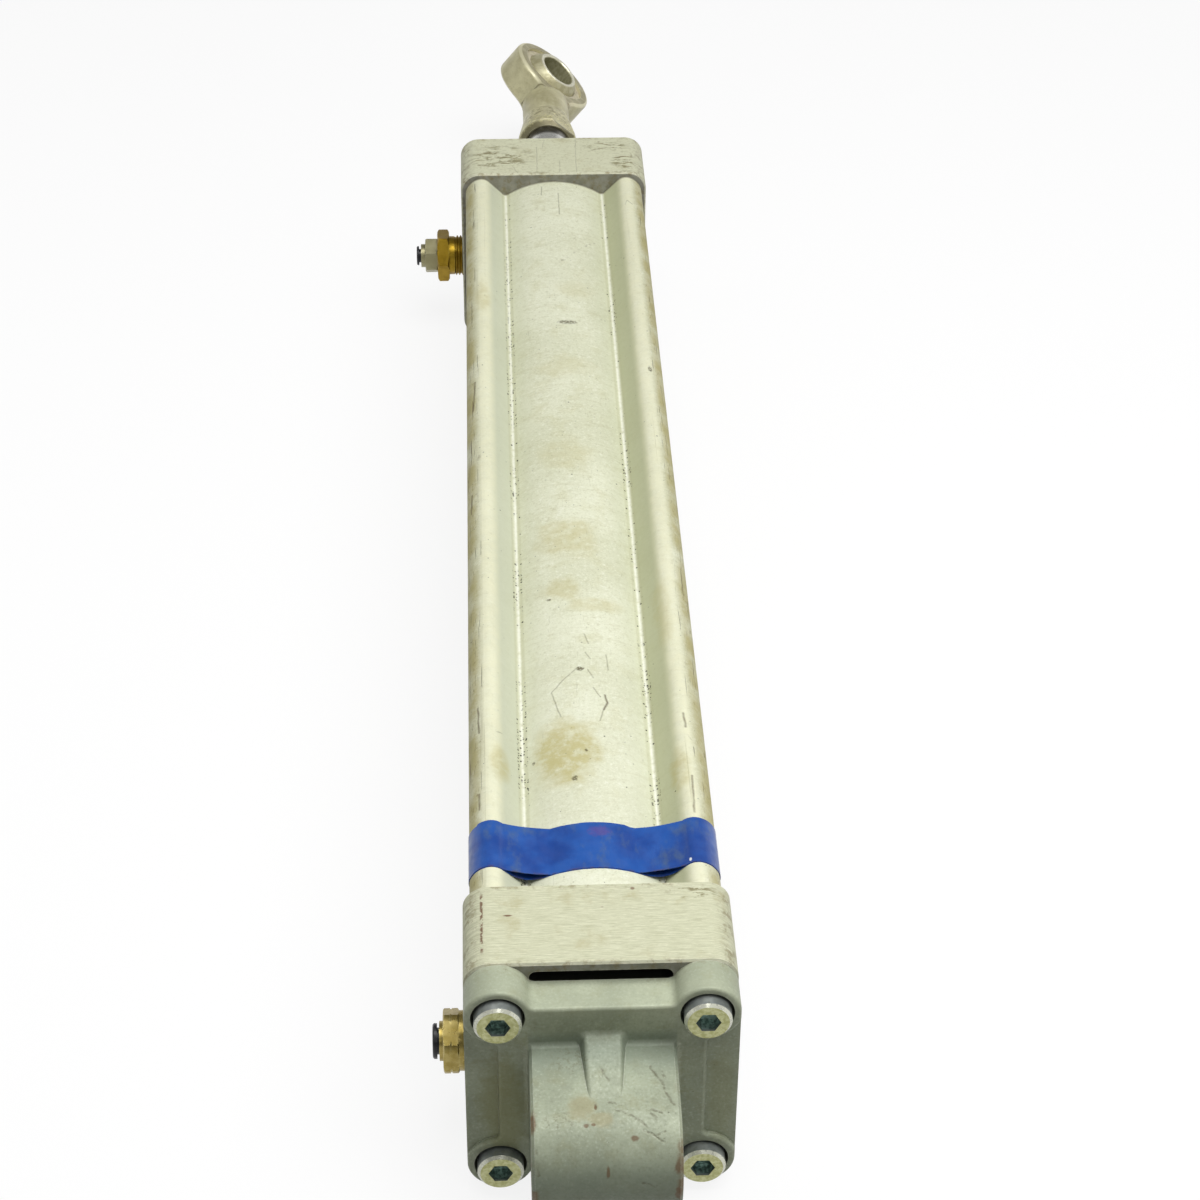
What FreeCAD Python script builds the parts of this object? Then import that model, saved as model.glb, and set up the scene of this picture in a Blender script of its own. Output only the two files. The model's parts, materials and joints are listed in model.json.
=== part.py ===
import FreeCAD, Part
import math
import os

# Double-acting pneumatic cylinder with a profiled tube, a swivel eye flange behind and a ball-jointed rod eye
# in front. Lengths are in millimetres and angles in degrees. The origin is the centre of the rear eye's bore:
# +X runs along that bore, +Y the way the rod comes out, and +Z is up. Both air fittings are on the -X side.

Vector = FreeCAD.Vector

# Fits, all measured on the radius or on one side
running_clearance = 0.05
slip_clearance = 0.02
loose_clearance = 0.3

# Tube
stroke = 370.0
rest_extension = 29.0
bore_diameter = 63.0
tube_wall = 2.5
screw_spacing = 56.5
lobe_radius = 7.5
lobe_half_width = 5.8
lobe_edge_radius = 4.5
groove_radius = 1.6

# End caps
cap_width = 75.0
cap_length = 32.0
cap_corner_radius = 7.5
cap_edge_chamfer = 0.6
spigot_length = 12.0
spigot_clearance = 0.1
stop_gap = 0.5
pilot_diameter = 44.84
pilot_length = 4.0
pocket_depth = 14.0
pocket_rim = 2.75
pocket_wall = 1.6
pocket_pilot_wall = 3.0
pocket_corner_radius = 2.2
port_setback = 17.0
port_offset = 7.5
port_depth = 12.0
port_thread_diameter = 16.66
port_thread_height = 0.856
passage_diameter = 8.0
passage_floor_gap = 1.0

# Tube screws, whose heads carry the mounting thread
tube_screw_head_diameter = 13.5
tube_screw_head_length = 20.0
tube_screw_setback = 0.5
tube_screw_core_diameter = 7.2
tube_screw_grip = 22.0
mounting_thread_core = 6.8
mounting_thread_depth = 16.0
tube_screw_key = 5.0
tube_screw_key_depth = 3.0

# Cap seals
oring_section = 3.0
oring_setback = 4.0
cushion_seal_height = 4.4
cushion_seal_width = 6.0
cushion_seal_setback = 2.0

# Rod guide in the front cap
bush_wall = 2.0
wiper_height = 5.0
wiper_length = 7.0
wiper_lip_reach = 0.6

# Piston
piston_length = 32.0
piston_clearance = 0.35
piston_seal_width = 7.0
piston_seal_height = 5.8
piston_seal_setback = 3.0
piston_seal_notch = 3.5
guide_ring_width = 9.0
guide_ring_height = 2.1
magnet_width = 6.0
magnet_height = 5.0
groove_clearance = 0.1

# Piston rod
rod_diameter = 20.0
rod_shoulder_reach = 37.0
rod_thread_length = 32.0
rod_thread_core = 14.16
rod_end_chamfer = 1.5
rod_flats = 17.0
rod_flats_length = 10.0
rod_flats_setback = 4.0
tail_diameter = 14.0
tail_thread_core = 10.4
tail_overhang = 1.0
piston_nut_width = 19.0
piston_nut_height = 8.0
cushion_sleeve_diameter = 28.0
cushion_sleeve_length = 20.0
cushion_sleeve_lead = 1.0
cushion_cavity_gap = 2.0

# Cushion screws
needle_offset = 12.0
needle_recess = 1.2
needle_head_diameter = 7.0
needle_head_length = 6.0
needle_stem_diameter = 5.0
needle_stem_length = 7.0
needle_tip_length = 3.0
needle_tip_diameter = 1.2
needle_travel = 1.0
needle_slot_width = 1.0
needle_slot_depth = 1.4
needle_oring_section = 1.0
bypass_diameter = 2.4

# Rear swivel flange
pivot_reach = 32.0
pivot_bore = 16.0
pivot_bore_chamfer = 1.0
lug_width = 40.0
lug_radius = 16.0
lug_root_height = 18.0
lug_edge_chamfer = 0.8
plate_thickness = 11.0
plate_edge_round = 1.0
flange_waist_height = 31.3
flange_waist_fillet = 2.5
shelf_inner = 28.5
shelf_depth = 1.5
shelf_boss_gap = 0.4
shelf_corner_round = 2.0
rib_root_height = 22.0
rib_root_half_width = 7.8
rib_end_half_width = 5.2
rib_draft = 2.7
rib_length = 20.0
rib_sink = 0.3
rib_edge_round = 1.2
root_fillet = 1.6

# Flange screws
flange_screw_diameter = 8.0
flange_screw_core = 6.45
flange_screw_head_diameter = 13.0
flange_screw_head_height = 8.0
flange_screw_key = 6.0
flange_screw_key_depth = 4.0
flange_screw_edge = 0.8
flange_screw_grip = 12.0
counterbore_depth = 4.5
counterbore_gap = 0.9
screw_hole_gap = 0.5

# Rod eye
eye_turn = 50.0
eye_shank_length = 62.0
eye_outer_radius = 20.5
eye_width = 15.0
eye_edge_round = 2.0
eye_seat_radius = 16.0
eye_neck_diameter = 20.5
eye_neck_setback = 21.5
eye_neck_chamfer = 1.2
eye_neck_blend = 12.0
eye_web_inset = 2.0
eye_collar_diameter = 25.5
eye_collar_length = 5.0
eye_collar_taper = 16.0
eye_collar_chamfer = 2.2
eye_flats = 22.0
eye_thread_bore = 14.5
eye_thread_spare = 1.0
ball_diameter = 28.575
ball_width = 21.0
ball_bore = 16.0
ball_bore_chamfer = 0.6
ball_clearance = 0.1
ball_rest_tilt = 6.0
liner_width = 12.0

# Front air fitting, a brass reducer with a nickelled push-in body for a thin tube
front_hex = 19.0
front_hex_length = 4.8
front_hex_turn = 53.5
front_hex_bar_share = 0.98
front_thread_showing = 3.5
front_relief_diameter = 15.8
front_relief_length = 2.2
front_body_hex = 13.0
front_body_length = 5.1
front_body_turn = 23.5
front_nose_diameter = 9.6
front_nose_length = 1.8
front_tube_diameter = 4.0
front_collar_diameter = 7.9
front_collar_thickness = 0.9
front_collar_travel = 0.8
front_stub_length = 6.0
front_stub_core = 8.4
front_reducer_bore = 6.0

# Rear air fitting, one brass body with a grooved hexagon for a wider tube
rear_hex = 17.0
rear_hex_length = 4.5
rear_hex_turn = 30.7
rear_hex_bar_share = 0.94
rear_washer_diameter = 17.1
rear_washer_length = 1.8
rear_groove_width = 0.45
rear_groove_depth = 0.35
rear_nose_diameter = 11.3
rear_nose_length = 1.1
rear_tube_diameter = 6.0
rear_collar_diameter = 10.1
rear_collar_thickness = 1.2
rear_collar_travel = 0.6

# What both fittings share
fitting_thread_grip = 7.0
tube_socket_gap = 0.1
tube_stop_diameter_loss = 1.2
collar_sleeve_wall = 0.7
collar_sleeve_length = 4.0
grip_length = 1.6
tube_oring_section = 1.4
tube_socket_length = 3.0
hex_face_share = 0.88
hex_chamfer_angle = 30.0

# Adhesive tape round the tube
tape_width = 19.5
tape_setback = 10.0
tape_thickness = 0.2
tape_gap = 0.03
tape_landing = 24.0

# Places along the cylinder
rear_face_y = pivot_reach
barrel_y = rear_face_y + cap_length
barrel_length = stroke + piston_length + 2.0 * (spigot_length + stop_gap)
front_cap_y = barrel_y + barrel_length
front_face_y = front_cap_y + cap_length
piston_rear_y = barrel_y + spigot_length + stop_gap + rest_extension
piston_front_y = piston_rear_y + piston_length
piston_split_y = piston_rear_y + piston_length / 2.0
rod_shoulder_y = front_face_y + rod_shoulder_reach + rest_extension
eye_y = rod_shoulder_y + eye_shank_length
plate_y = pivot_reach - plate_thickness

# Radii and reaches that several pieces share
bore_radius = bore_diameter / 2.0
tube_radius = bore_radius + tube_wall
rod_radius = rod_diameter / 2.0
tail_radius = tail_diameter / 2.0
half_cap = cap_width / 2.0
screw_reach = screw_spacing / 2.0
pilot_radius = pilot_diameter / 2.0
sleeve_radius = cushion_sleeve_diameter / 2.0
cavity_radius = sleeve_radius + cushion_cavity_gap
cavity_floor = port_setback - passage_diameter / 2.0 - passage_floor_gap
port_core_radius = port_thread_diameter / 2.0 - port_thread_height
tube_screw_hole_radius = tube_screw_head_diameter / 2.0 + loose_clearance
tube_screw_seat = tube_screw_setback + tube_screw_head_length


def turn_about_y(radius_and_y, x=0.0, z=0.0):
    """A solid of revolution about an axis along Y, from its closed half-section."""
    points = [Vector(x + radius, y, z) for radius, y in radius_and_y]
    face = Part.Face(Part.makePolygon(points + points[:1]))
    return face.revolve(Vector(x, 0.0, z), Vector(0.0, 1.0, 0.0), 360.0)


def turn_about_x(radius_and_x, y=0.0, z=0.0):
    """A solid of revolution about an axis along X, from its closed half-section."""
    points = [Vector(x, y, z + radius) for radius, x in radius_and_x]
    face = Part.Face(Part.makePolygon(points + points[:1]))
    return face.revolve(Vector(0.0, y, z), Vector(1.0, 0.0, 0.0), 360.0)


def turn_edges_about_x(edges):
    """A solid of revolution about the X axis, from the edges of its closed half-section."""
    face = Part.Face(Part.Wire(Part.__sortEdges__(edges)))
    return face.revolve(Vector(0.0, 0.0, 0.0), Vector(1.0, 0.0, 0.0), 360.0)


def chain(points):
    """Straight edges from each point to the next."""
    return [line(first, second) for first, second in zip(points, points[1:])]


def rod_along_y(radius, start, end, x=0.0, z=0.0):
    """A cylinder along Y between two places, given in either order."""
    low = min(start, end)
    return Part.makeCylinder(radius, abs(end - start), Vector(x, low, z), Vector(0.0, 1.0, 0.0))


def ring_along_y(outer, inner, start, end):
    """A plain ring about the cylinder's axis."""
    return rod_along_y(outer, start, end).cut(rod_along_y(inner, start, end))


def rod_along_x(radius, start, end, y=0.0, z=0.0):
    """A cylinder along X between two places, given in either order."""
    low = min(start, end)
    return Part.makeCylinder(radius, abs(end - start), Vector(low, y, z), Vector(1.0, 0.0, 0.0))


def box_between(low, high):
    """A box from its lowest to its highest corner."""
    size = high - low
    return Part.makeBox(size.x, size.y, size.z, low)


def arc(centre, start, end):
    """The shorter arc about a centre."""
    radius = (start - centre).Length
    middle = centre + ((start - centre) + (end - centre)).normalize() * radius
    return Part.Arc(start, middle, end).toShape()


def line(start, end):
    """A straight edge."""
    return Part.LineSegment(start, end).toShape()


def slab(edges, direction):
    """A closed outline pushed along a direction."""
    return Part.Face(Part.Wire(Part.__sortEdges__(edges))).extrude(direction)


def hexagon_corner(across_flats):
    """How far a hexagon's corners stand from its middle."""
    return across_flats / math.sqrt(3.0)


def hexagon(across_flats, turn, place):
    """The outline of a hexagon: place puts a pair of coordinates on its plane."""
    corner = hexagon_corner(across_flats)
    angles = [math.radians(turn + 60.0 * step) for step in range(7)]
    return Part.makePolygon([place(corner * math.cos(angle), corner * math.sin(angle)) for angle in angles])


def hexagon_along_y(across_flats, start, end, x=0.0, z=0.0, turn=0.0):
    """A hexagonal prism along Y."""
    low = min(start, end)
    outline = hexagon(across_flats, turn, lambda u, v: Vector(x + u, low, z + v))
    return Part.Face(outline).extrude(Vector(0.0, abs(end - start), 0.0))


def hexagon_along_x(across_flats, start, end, y, z, turn, bar_share):
    """A hexagonal prism along X, milled from a bar that leaves its corners round and chamfered."""
    low = min(start, end)
    length = abs(end - start)
    outline = hexagon(across_flats, turn, lambda u, v: Vector(low, y + u, z + v))
    prism = Part.Face(outline).extrude(Vector(length, 0.0, 0.0))
    bar = hexagon_corner(across_flats) * bar_share
    face = hexagon_corner(across_flats) * hex_face_share
    lead = (bar - face) * math.tan(math.radians(hex_chamfer_angle))
    turned = [(0.0, low), (face, low), (bar, low + lead), (bar, low + length - lead),
              (face, low + length), (0.0, low + length)]
    return prism.common(turn_about_x(turned, y, z))


def edges_in_plane(shape, axis, value):
    """The edges that lie wholly in a plane across X, Y or Z."""
    near = 1e-6

    def offset(point):
        return abs((point.x, point.y, point.z)["xyz".index(axis)] - value)

    return [edge for edge in shape.Edges
            if all(offset(point) < near for point in edge.discretize(5))]


def screw_axes():
    """The four screw places of the square pattern, as X and Z."""
    return [(x, z) for x in (-screw_reach, screw_reach) for z in (-screw_reach, screw_reach)]


def save(name, shape):
    """Writes one piece, once its solids are known to be sound."""
    if not shape.isValid() or not shape.Solids:
        raise ValueError(name + " is not a sound solid")
    shape.exportStep(os.path.join("parts", name + ".step"))


def rounded_square(half, corner_radius, start, end):
    """A square bar along Y with rounded corners."""
    low = min(start, end)
    inner = half - corner_radius
    edges = []
    for turn in range(4):
        placement = FreeCAD.Rotation(Vector(0.0, 1.0, 0.0), 90.0 * turn)
        side = [Vector(half, low, -inner), Vector(half, low, inner), Vector(inner, low, half)]
        first, second, third = [placement.multVec(point) for point in side]
        centre = placement.multVec(Vector(inner, low, inner))
        edges += [line(first, second), arc(centre, second, third)]
    return slab(edges, Vector(0.0, abs(end - start), 0.0))


def section_point(along, across, angle, y):
    """A point of a cross-section, given along and across a direction turned by angle from +X towards +Z."""
    turn = math.radians(angle)
    return Vector(along * math.cos(turn) - across * math.sin(turn), y,
                  along * math.sin(turn) + across * math.cos(turn))


def lobe(angle, start, length, grow=0.0):
    """One corner lobe of the tube: flat flanks, a round end and hollow corners onto the tube.

    grow moves every face outwards by that much.
    """
    end_radius = lobe_radius + grow
    half_width = lobe_half_width + grow
    edge_radius = lobe_edge_radius + grow
    hollow = groove_radius - grow
    foot = tube_radius + grow
    reach = math.hypot(screw_reach, screw_reach)
    edge_across = half_width - edge_radius
    edge_along = reach + math.sqrt((end_radius - edge_radius) ** 2 - edge_across ** 2)
    hollow_across = half_width + hollow
    hollow_along = math.sqrt((foot + hollow) ** 2 - hollow_across ** 2)
    foot_share = foot / (foot + hollow)
    end_share = end_radius / (end_radius - edge_radius)
    sides = []
    for side in (1.0, -1.0):
        places = {
            "foot": (hollow_along * foot_share, hollow_across * foot_share),
            "hollow": (hollow_along, hollow_across),
            "flank_low": (hollow_along, half_width),
            "flank_high": (edge_along, half_width),
            "edge": (edge_along, edge_across),
            "end": (reach + (edge_along - reach) * end_share, edge_across * end_share),
        }
        sides.append({name: section_point(along, side * across, angle, start)
                      for name, (along, across) in places.items()})
    edges = []
    for side in sides:
        edges += [arc(side["hollow"], side["foot"], side["flank_low"]),
                  line(side["flank_low"], side["flank_high"]),
                  arc(side["edge"], side["flank_high"], side["end"])]
    left, right = sides
    edges += [arc(section_point(reach, 0.0, angle, start), left["end"], right["end"]),
              line(left["foot"], right["foot"])]
    return slab(edges, Vector(0.0, length, 0.0))


def lobe_angles():
    """Where the four lobes stand round the axis."""
    return [45.0 + 90.0 * turn for turn in range(4)]


def barrel_profile():
    """The extruded tube: a round wall with four lobes, each with a screw channel right through."""
    tube = rod_along_y(tube_radius, barrel_y, front_cap_y)
    tube = tube.multiFuse([lobe(angle, barrel_y, barrel_length) for angle in lobe_angles()])
    channel_radius = tube_screw_core_diameter / 2.0 + slip_clearance
    holes = [rod_along_y(channel_radius, barrel_y, front_cap_y, x, z) for x, z in screw_axes()]
    holes.append(rod_along_y(bore_radius, barrel_y, front_cap_y))
    return tube.removeSplitter().cut(holes)


def tape_layer(start, grow):
    """What the tape encloses, out to one of its two faces: tube, lobes and the grooves that it spans."""
    layer = rod_along_y(tube_radius + grow, start, start + tape_width)
    reach = math.hypot(screw_reach, screw_reach)
    edge_across = lobe_half_width - lobe_edge_radius
    leave_along = reach + math.sqrt((lobe_radius - lobe_edge_radius) ** 2 - edge_across ** 2)
    landing = math.radians(tape_landing)
    leave = Vector(leave_along, lobe_half_width, 0.0)
    land = Vector(math.cos(landing), math.sin(landing), 0.0) * tube_radius
    span = (land - leave).normalize()
    lift = Vector(span.y, -span.x, 0.0) * grow
    pieces = []
    for angle in lobe_angles():
        pieces.append(lobe(angle, start, tape_width, grow))
        for side in (1.0, -1.0):
            outline = [Vector(leave_along, 0.0, 0.0), leave + lift, land + lift, land * 0.5]
            points = [section_point(point.x, side * point.y, angle, start) for point in outline]
            wedge = Part.Face(Part.makePolygon(points + points[:1]))
            pieces.append(wedge.extrude(Vector(0.0, tape_width, 0.0)))
    return layer.multiFuse(pieces)


def tape_band():
    """Blue tape wound once round the tube behind the rear cap, spanning the grooves."""
    start = barrel_y + tape_setback
    return tape_layer(start, tape_gap + tape_thickness).cut(tape_layer(start, tape_gap)).removeSplitter()


class Cap:
    """One end cap, measured by depth from its mounting face in towards the tube."""

    def __init__(self, face_y, inward):
        self.face_y = face_y
        self.inward = inward
        self.port_y = self.at(port_setback)
        self.spigot_end = cap_length + spigot_length

    def at(self, depth):
        """The Y of a depth."""
        return self.face_y + self.inward * depth

    def bore(self, radius, start, end, x=0.0, z=0.0):
        """A cylinder along Y between two depths."""
        return rod_along_y(radius, self.at(start), self.at(end), x, z)

    def ring(self, outer, inner, start, end):
        """A plain ring about the axis between two depths."""
        return ring_along_y(outer, inner, self.at(start), self.at(end))

    def oring_depths(self):
        """Both sides of the seal groove on the spigot."""
        start = cap_length + oring_setback
        return start, start + oring_section + 2.0 * groove_clearance

    def cushion_seal_depths(self):
        """Both sides of the cushion seal, which sits just inside the spigot's mouth."""
        end = self.spigot_end - cushion_seal_setback
        return end - cushion_seal_width, end

    def pocket(self, side):
        """The cored pocket between the pilot and the top or bottom face."""
        half_length = screw_reach - tube_screw_hole_radius - pocket_wall
        low = pilot_radius + pocket_pilot_wall
        high = half_cap - pocket_rim
        start, end = sorted((self.at(0.0), self.at(pocket_depth)))
        heights = sorted((side * low, side * high))
        shape = box_between(Vector(-half_length, start, heights[0]), Vector(half_length, end, heights[1]))
        upright = [edge for edge in shape.Edges if abs(edge.tangentAt(edge.FirstParameter).y) > 0.5]
        return shape.makeFillet(pocket_corner_radius, upright)

    def blank(self):
        """Block and spigot, with the seal groove turned in the spigot."""
        block = rounded_square(half_cap, cap_corner_radius, self.at(0.0), self.at(cap_length))
        rims = edges_in_plane(block, "y", self.at(0.0)) + edges_in_plane(block, "y", self.at(cap_length))
        block = block.makeChamfer(cap_edge_chamfer, rims)
        spigot_radius = bore_radius - spigot_clearance
        spigot = self.bore(spigot_radius, cap_length, self.spigot_end)
        groove_floor = bore_radius - oring_section
        groove = self.ring(bore_radius, groove_floor, *self.oring_depths())
        return block.fuse(spigot.cut(groove))

    def cushion_cuts(self):
        """The cavity that takes the cushion sleeve, and the groove of its seal."""
        seal_start, seal_end = self.cushion_seal_depths()
        mouth_radius = sleeve_radius + loose_clearance
        return [self.bore(cavity_radius, cavity_floor, seal_start - cushion_seal_setback),
                self.bore(mouth_radius, cavity_floor, self.spigot_end),
                self.bore(sleeve_radius + cushion_seal_height + groove_clearance,
                          seal_start - groove_clearance, seal_end + groove_clearance)]

    def air_cuts(self):
        """The port with its passage, and the stepped hole of the cushion screw with its bypass."""
        stem_radius = needle_stem_diameter / 2.0 + running_clearance
        head_radius = needle_head_diameter / 2.0 + running_clearance
        head_floor = needle_recess + needle_head_length + needle_travel + loose_clearance
        stem_floor = head_floor + needle_stem_length + needle_tip_length
        return [rod_along_x(port_core_radius + slip_clearance, -half_cap, port_depth - half_cap,
                            self.port_y, -port_offset),
                rod_along_x(passage_diameter / 2.0, -half_cap, 0.0, self.port_y, -port_offset),
                rod_along_x(head_radius, -half_cap, head_floor - half_cap, self.port_y, needle_offset),
                rod_along_x(stem_radius, -half_cap, stem_floor - half_cap, self.port_y, needle_offset),
                rod_along_x(bypass_diameter / 2.0, -half_cap, 0.0, self.port_y, needle_offset)]

    def screw_cuts(self):
        """Stepped holes for the four tube screws."""
        cuts = []
        for x, z in screw_axes():
            cuts.append(self.bore(tube_screw_hole_radius, 0.0, tube_screw_seat, x, z))
            cuts.append(self.bore(tube_screw_core_diameter / 2.0 + screw_hole_gap, 0.0, cap_length, x, z))
        return cuts

    def shape(self):
        """What both caps have in common."""
        cuts = self.cushion_cuts() + self.air_cuts() + self.screw_cuts()
        cuts += [self.pocket(side) for side in (-1.0, 1.0)]
        return self.blank().cut(cuts)

    def tube_screws(self):
        """Four hollow-headed screws that hold the cap on the tube and take the mounting bolts."""
        core = tube_screw_core_diameter / 2.0
        screws = []
        for x, z in screw_axes():
            head = self.bore(tube_screw_head_diameter / 2.0, tube_screw_setback, tube_screw_seat, x, z)
            shank = self.bore(core, tube_screw_seat, cap_length + tube_screw_grip, x, z)
            thread_end = tube_screw_setback + mounting_thread_depth
            thread = self.bore(mounting_thread_core / 2.0, tube_screw_setback, thread_end, x, z)
            key = hexagon_along_y(tube_screw_key, self.at(thread_end),
                                  self.at(thread_end + tube_screw_key_depth), x, z)
            screws.append(head.fuse(shank).removeSplitter().cut([thread, key]))
        return Part.makeCompound(screws)

    def oring(self):
        """The ring that seals the spigot in the tube."""
        start, end = self.oring_depths()
        middle = self.at((start + end) / 2.0)
        section = oring_section / 2.0 - slip_clearance
        ring_radius = bore_radius - slip_clearance - section
        return Part.makeTorus(ring_radius, section, Vector(0.0, middle, 0.0), Vector(0.0, 1.0, 0.0))

    def cushion_seal(self):
        """The lip ring that closes on the cushion sleeve."""
        inner = sleeve_radius + running_clearance
        return self.ring(sleeve_radius + cushion_seal_height, inner, *self.cushion_seal_depths())

    def needle(self):
        """The cushion screw: slotted head, stem with a seal groove, and a tapered tip."""
        outer = needle_recess - half_cap
        neck = outer + needle_head_length
        stem_end = neck + needle_stem_length
        head_radius = needle_head_diameter / 2.0
        stem_radius = needle_stem_diameter / 2.0
        groove_start, groove_end = self.needle_groove()
        groove_radius_inner = stem_radius - needle_oring_section
        section = [(0.0, outer), (head_radius, outer), (head_radius, neck), (stem_radius, neck),
                   (stem_radius, groove_start), (groove_radius_inner, groove_start),
                   (groove_radius_inner, groove_end), (stem_radius, groove_end), (stem_radius, stem_end),
                   (needle_tip_diameter / 2.0, stem_end + needle_tip_length),
                   (0.0, stem_end + needle_tip_length)]
        screw = turn_about_x(section, self.port_y, needle_offset)
        half_slot = needle_slot_width / 2.0
        slot = box_between(
            Vector(outer, self.port_y - half_slot, needle_offset - needle_head_diameter),
            Vector(outer + needle_slot_depth, self.port_y + half_slot, needle_offset + needle_head_diameter))
        return screw.cut(slot)

    def needle_groove(self):
        """Both sides of the cushion screw's seal groove, along X."""
        middle = needle_recess - half_cap + needle_head_length + needle_stem_length / 2.0
        half = needle_oring_section / 2.0 + groove_clearance
        return middle - half, middle + half

    def needle_oring(self):
        """The ring that seals the cushion screw's stem."""
        start, end = self.needle_groove()
        section = needle_oring_section / 2.0 - slip_clearance
        ring_radius = needle_stem_diameter / 2.0 - section
        return Part.makeTorus(ring_radius, section, Vector((start + end) / 2.0, self.port_y, needle_offset),
                              Vector(1.0, 0.0, 0.0))


rear = Cap(rear_face_y, 1.0)
front = Cap(front_face_y, -1.0)


def rear_cap():
    """The rear cap, with the recess that centres the flange."""
    recess = rear.bore(pilot_radius + running_clearance, 0.0, pilot_length)
    return rear.shape().cut(recess)


def front_cap():
    """The front cap, with its pilot and the seats of rod bush and wiper."""
    pilot = front.bore(pilot_radius, -pilot_length, 0.0)
    wiper_floor = wiper_length - pilot_length
    seats = [front.bore(rod_radius + wiper_height, -pilot_length, wiper_floor),
             front.bore(rod_radius + running_clearance + bush_wall, wiper_floor, cavity_floor)]
    return front.shape().fuse(pilot).cut(seats)


def rod_bush():
    """The plain bearing that guides the rod."""
    inner = rod_radius + running_clearance
    return front.ring(inner + bush_wall, inner, wiper_length - pilot_length, cavity_floor)


def rod_wiper_seal():
    """The rod seal, whose wiping lip stands a little out of the pilot."""
    inner = rod_radius + running_clearance
    outer = rod_radius + wiper_height
    floor = wiper_length - pilot_length
    lip = (inner + outer) / 2.0
    section = [(inner, front.at(floor)), (outer, front.at(floor)), (outer, front.at(-pilot_length)),
               (lip, front.at(-pilot_length)), (inner, front.at(-pilot_length - wiper_lip_reach))]
    return turn_about_y(section)


def piston_half(outer_end):
    """Half of the piston, from outer face to split, with its seal groove and half the centre groove."""
    towards = 1.0 if outer_end < piston_split_y else -1.0
    outside = bore_radius - piston_clearance
    seal_start = outer_end + towards * piston_seal_setback
    seal_end = seal_start + towards * piston_seal_width
    guide_start = piston_split_y - towards * guide_ring_width / 2.0
    magnet_start = piston_split_y - towards * magnet_width / 2.0
    guide_floor = bore_radius - running_clearance - guide_ring_height - groove_clearance
    cuts = [rod_along_y(tail_radius + slip_clearance, outer_end, piston_split_y),
            ring_along_y(bore_radius, bore_radius - piston_seal_height, seal_start, seal_end),
            ring_along_y(bore_radius, guide_floor, guide_start, piston_split_y),
            ring_along_y(guide_floor, guide_floor - magnet_height, magnet_start, piston_split_y)]
    return rod_along_y(outside, outer_end, piston_split_y).cut(cuts)


def piston_seal(outer_end):
    """A lip seal, open towards the pressure at its end of the piston."""
    towards = 1.0 if outer_end < piston_split_y else -1.0
    start = outer_end + towards * (piston_seal_setback + groove_clearance)
    end = outer_end + towards * (piston_seal_setback + piston_seal_width - groove_clearance)
    outer = bore_radius - running_clearance
    inner = bore_radius - piston_seal_height + groove_clearance
    root = start + towards * piston_seal_notch
    third = (outer - inner) / 3.0
    section = [(inner, end), (outer, end), (outer, start), (outer - third, start),
               ((inner + outer) / 2.0, root), (inner + third, start), (inner, start)]
    return turn_about_y(section)


def piston_guide_ring():
    """The wear band round the middle of the piston."""
    half = guide_ring_width / 2.0 - groove_clearance
    outer = bore_radius - running_clearance
    return ring_along_y(outer, outer - guide_ring_height, piston_split_y - half, piston_split_y + half)


def piston_magnet():
    """The ring magnet under the wear band, read by switches outside the tube."""
    half = magnet_width / 2.0
    outer = bore_radius - running_clearance - guide_ring_height - groove_clearance
    return ring_along_y(outer, outer - magnet_height, piston_split_y - half, piston_split_y + half)


def piston_nut():
    """The nut that clamps rear sleeve and piston against the rod's shoulder."""
    end = piston_rear_y - cushion_sleeve_length
    nut = hexagon_along_y(piston_nut_width, end - piston_nut_height, end)
    return nut.cut(rod_along_y(tail_thread_core / 2.0 + slip_clearance, end - piston_nut_height, end))


def cushion_sleeve(inner, piston_end, towards):
    """A cushion sleeve that stands on one face of the piston, with a lead at its free end."""
    free = piston_end + towards * cushion_sleeve_length
    section = [(inner, piston_end), (sleeve_radius, piston_end),
               (sleeve_radius, free - towards * cushion_sleeve_lead),
               (sleeve_radius - cushion_sleeve_lead, free), (inner, free)]
    return turn_about_y(section)


def piston_rod():
    """The rod: threaded front end, spanner flats, and a stepped tail for the piston."""
    thread = rod_thread_core / 2.0
    tail_thread = tail_thread_core / 2.0
    tail_step = piston_rear_y - cushion_sleeve_length
    tail_end = tail_step - piston_nut_height - tail_overhang
    thread_end = rod_shoulder_y + rod_thread_length
    section = [(0.0, tail_end), (tail_thread, tail_end), (tail_thread, tail_step), (tail_radius, tail_step),
               (tail_radius, piston_front_y), (rod_radius, piston_front_y), (rod_radius, rod_shoulder_y),
               (thread, rod_shoulder_y), (thread, thread_end - rod_end_chamfer),
               (thread - rod_end_chamfer, thread_end), (0.0, thread_end)]
    flats_end = rod_shoulder_y - rod_flats_setback
    cuts = []
    for side in (-1.0, 1.0):
        reach = sorted((side * rod_flats / 2.0, side * rod_diameter))
        cuts.append(box_between(Vector(reach[0], flats_end - rod_flats_length, -rod_diameter),
                                Vector(reach[1], flats_end, rod_diameter)))
    return turn_about_y(section).cut(cuts)


def in_eye(shape):
    """Puts a piece drawn about the origin, with the eye's bore along X, into the rod eye's place."""
    shape.rotate(Vector(0.0, 0.0, 0.0), Vector(0.0, 1.0, 0.0), -eye_turn)
    shape.translate(Vector(0.0, eye_y, 0.0))
    return shape


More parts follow.
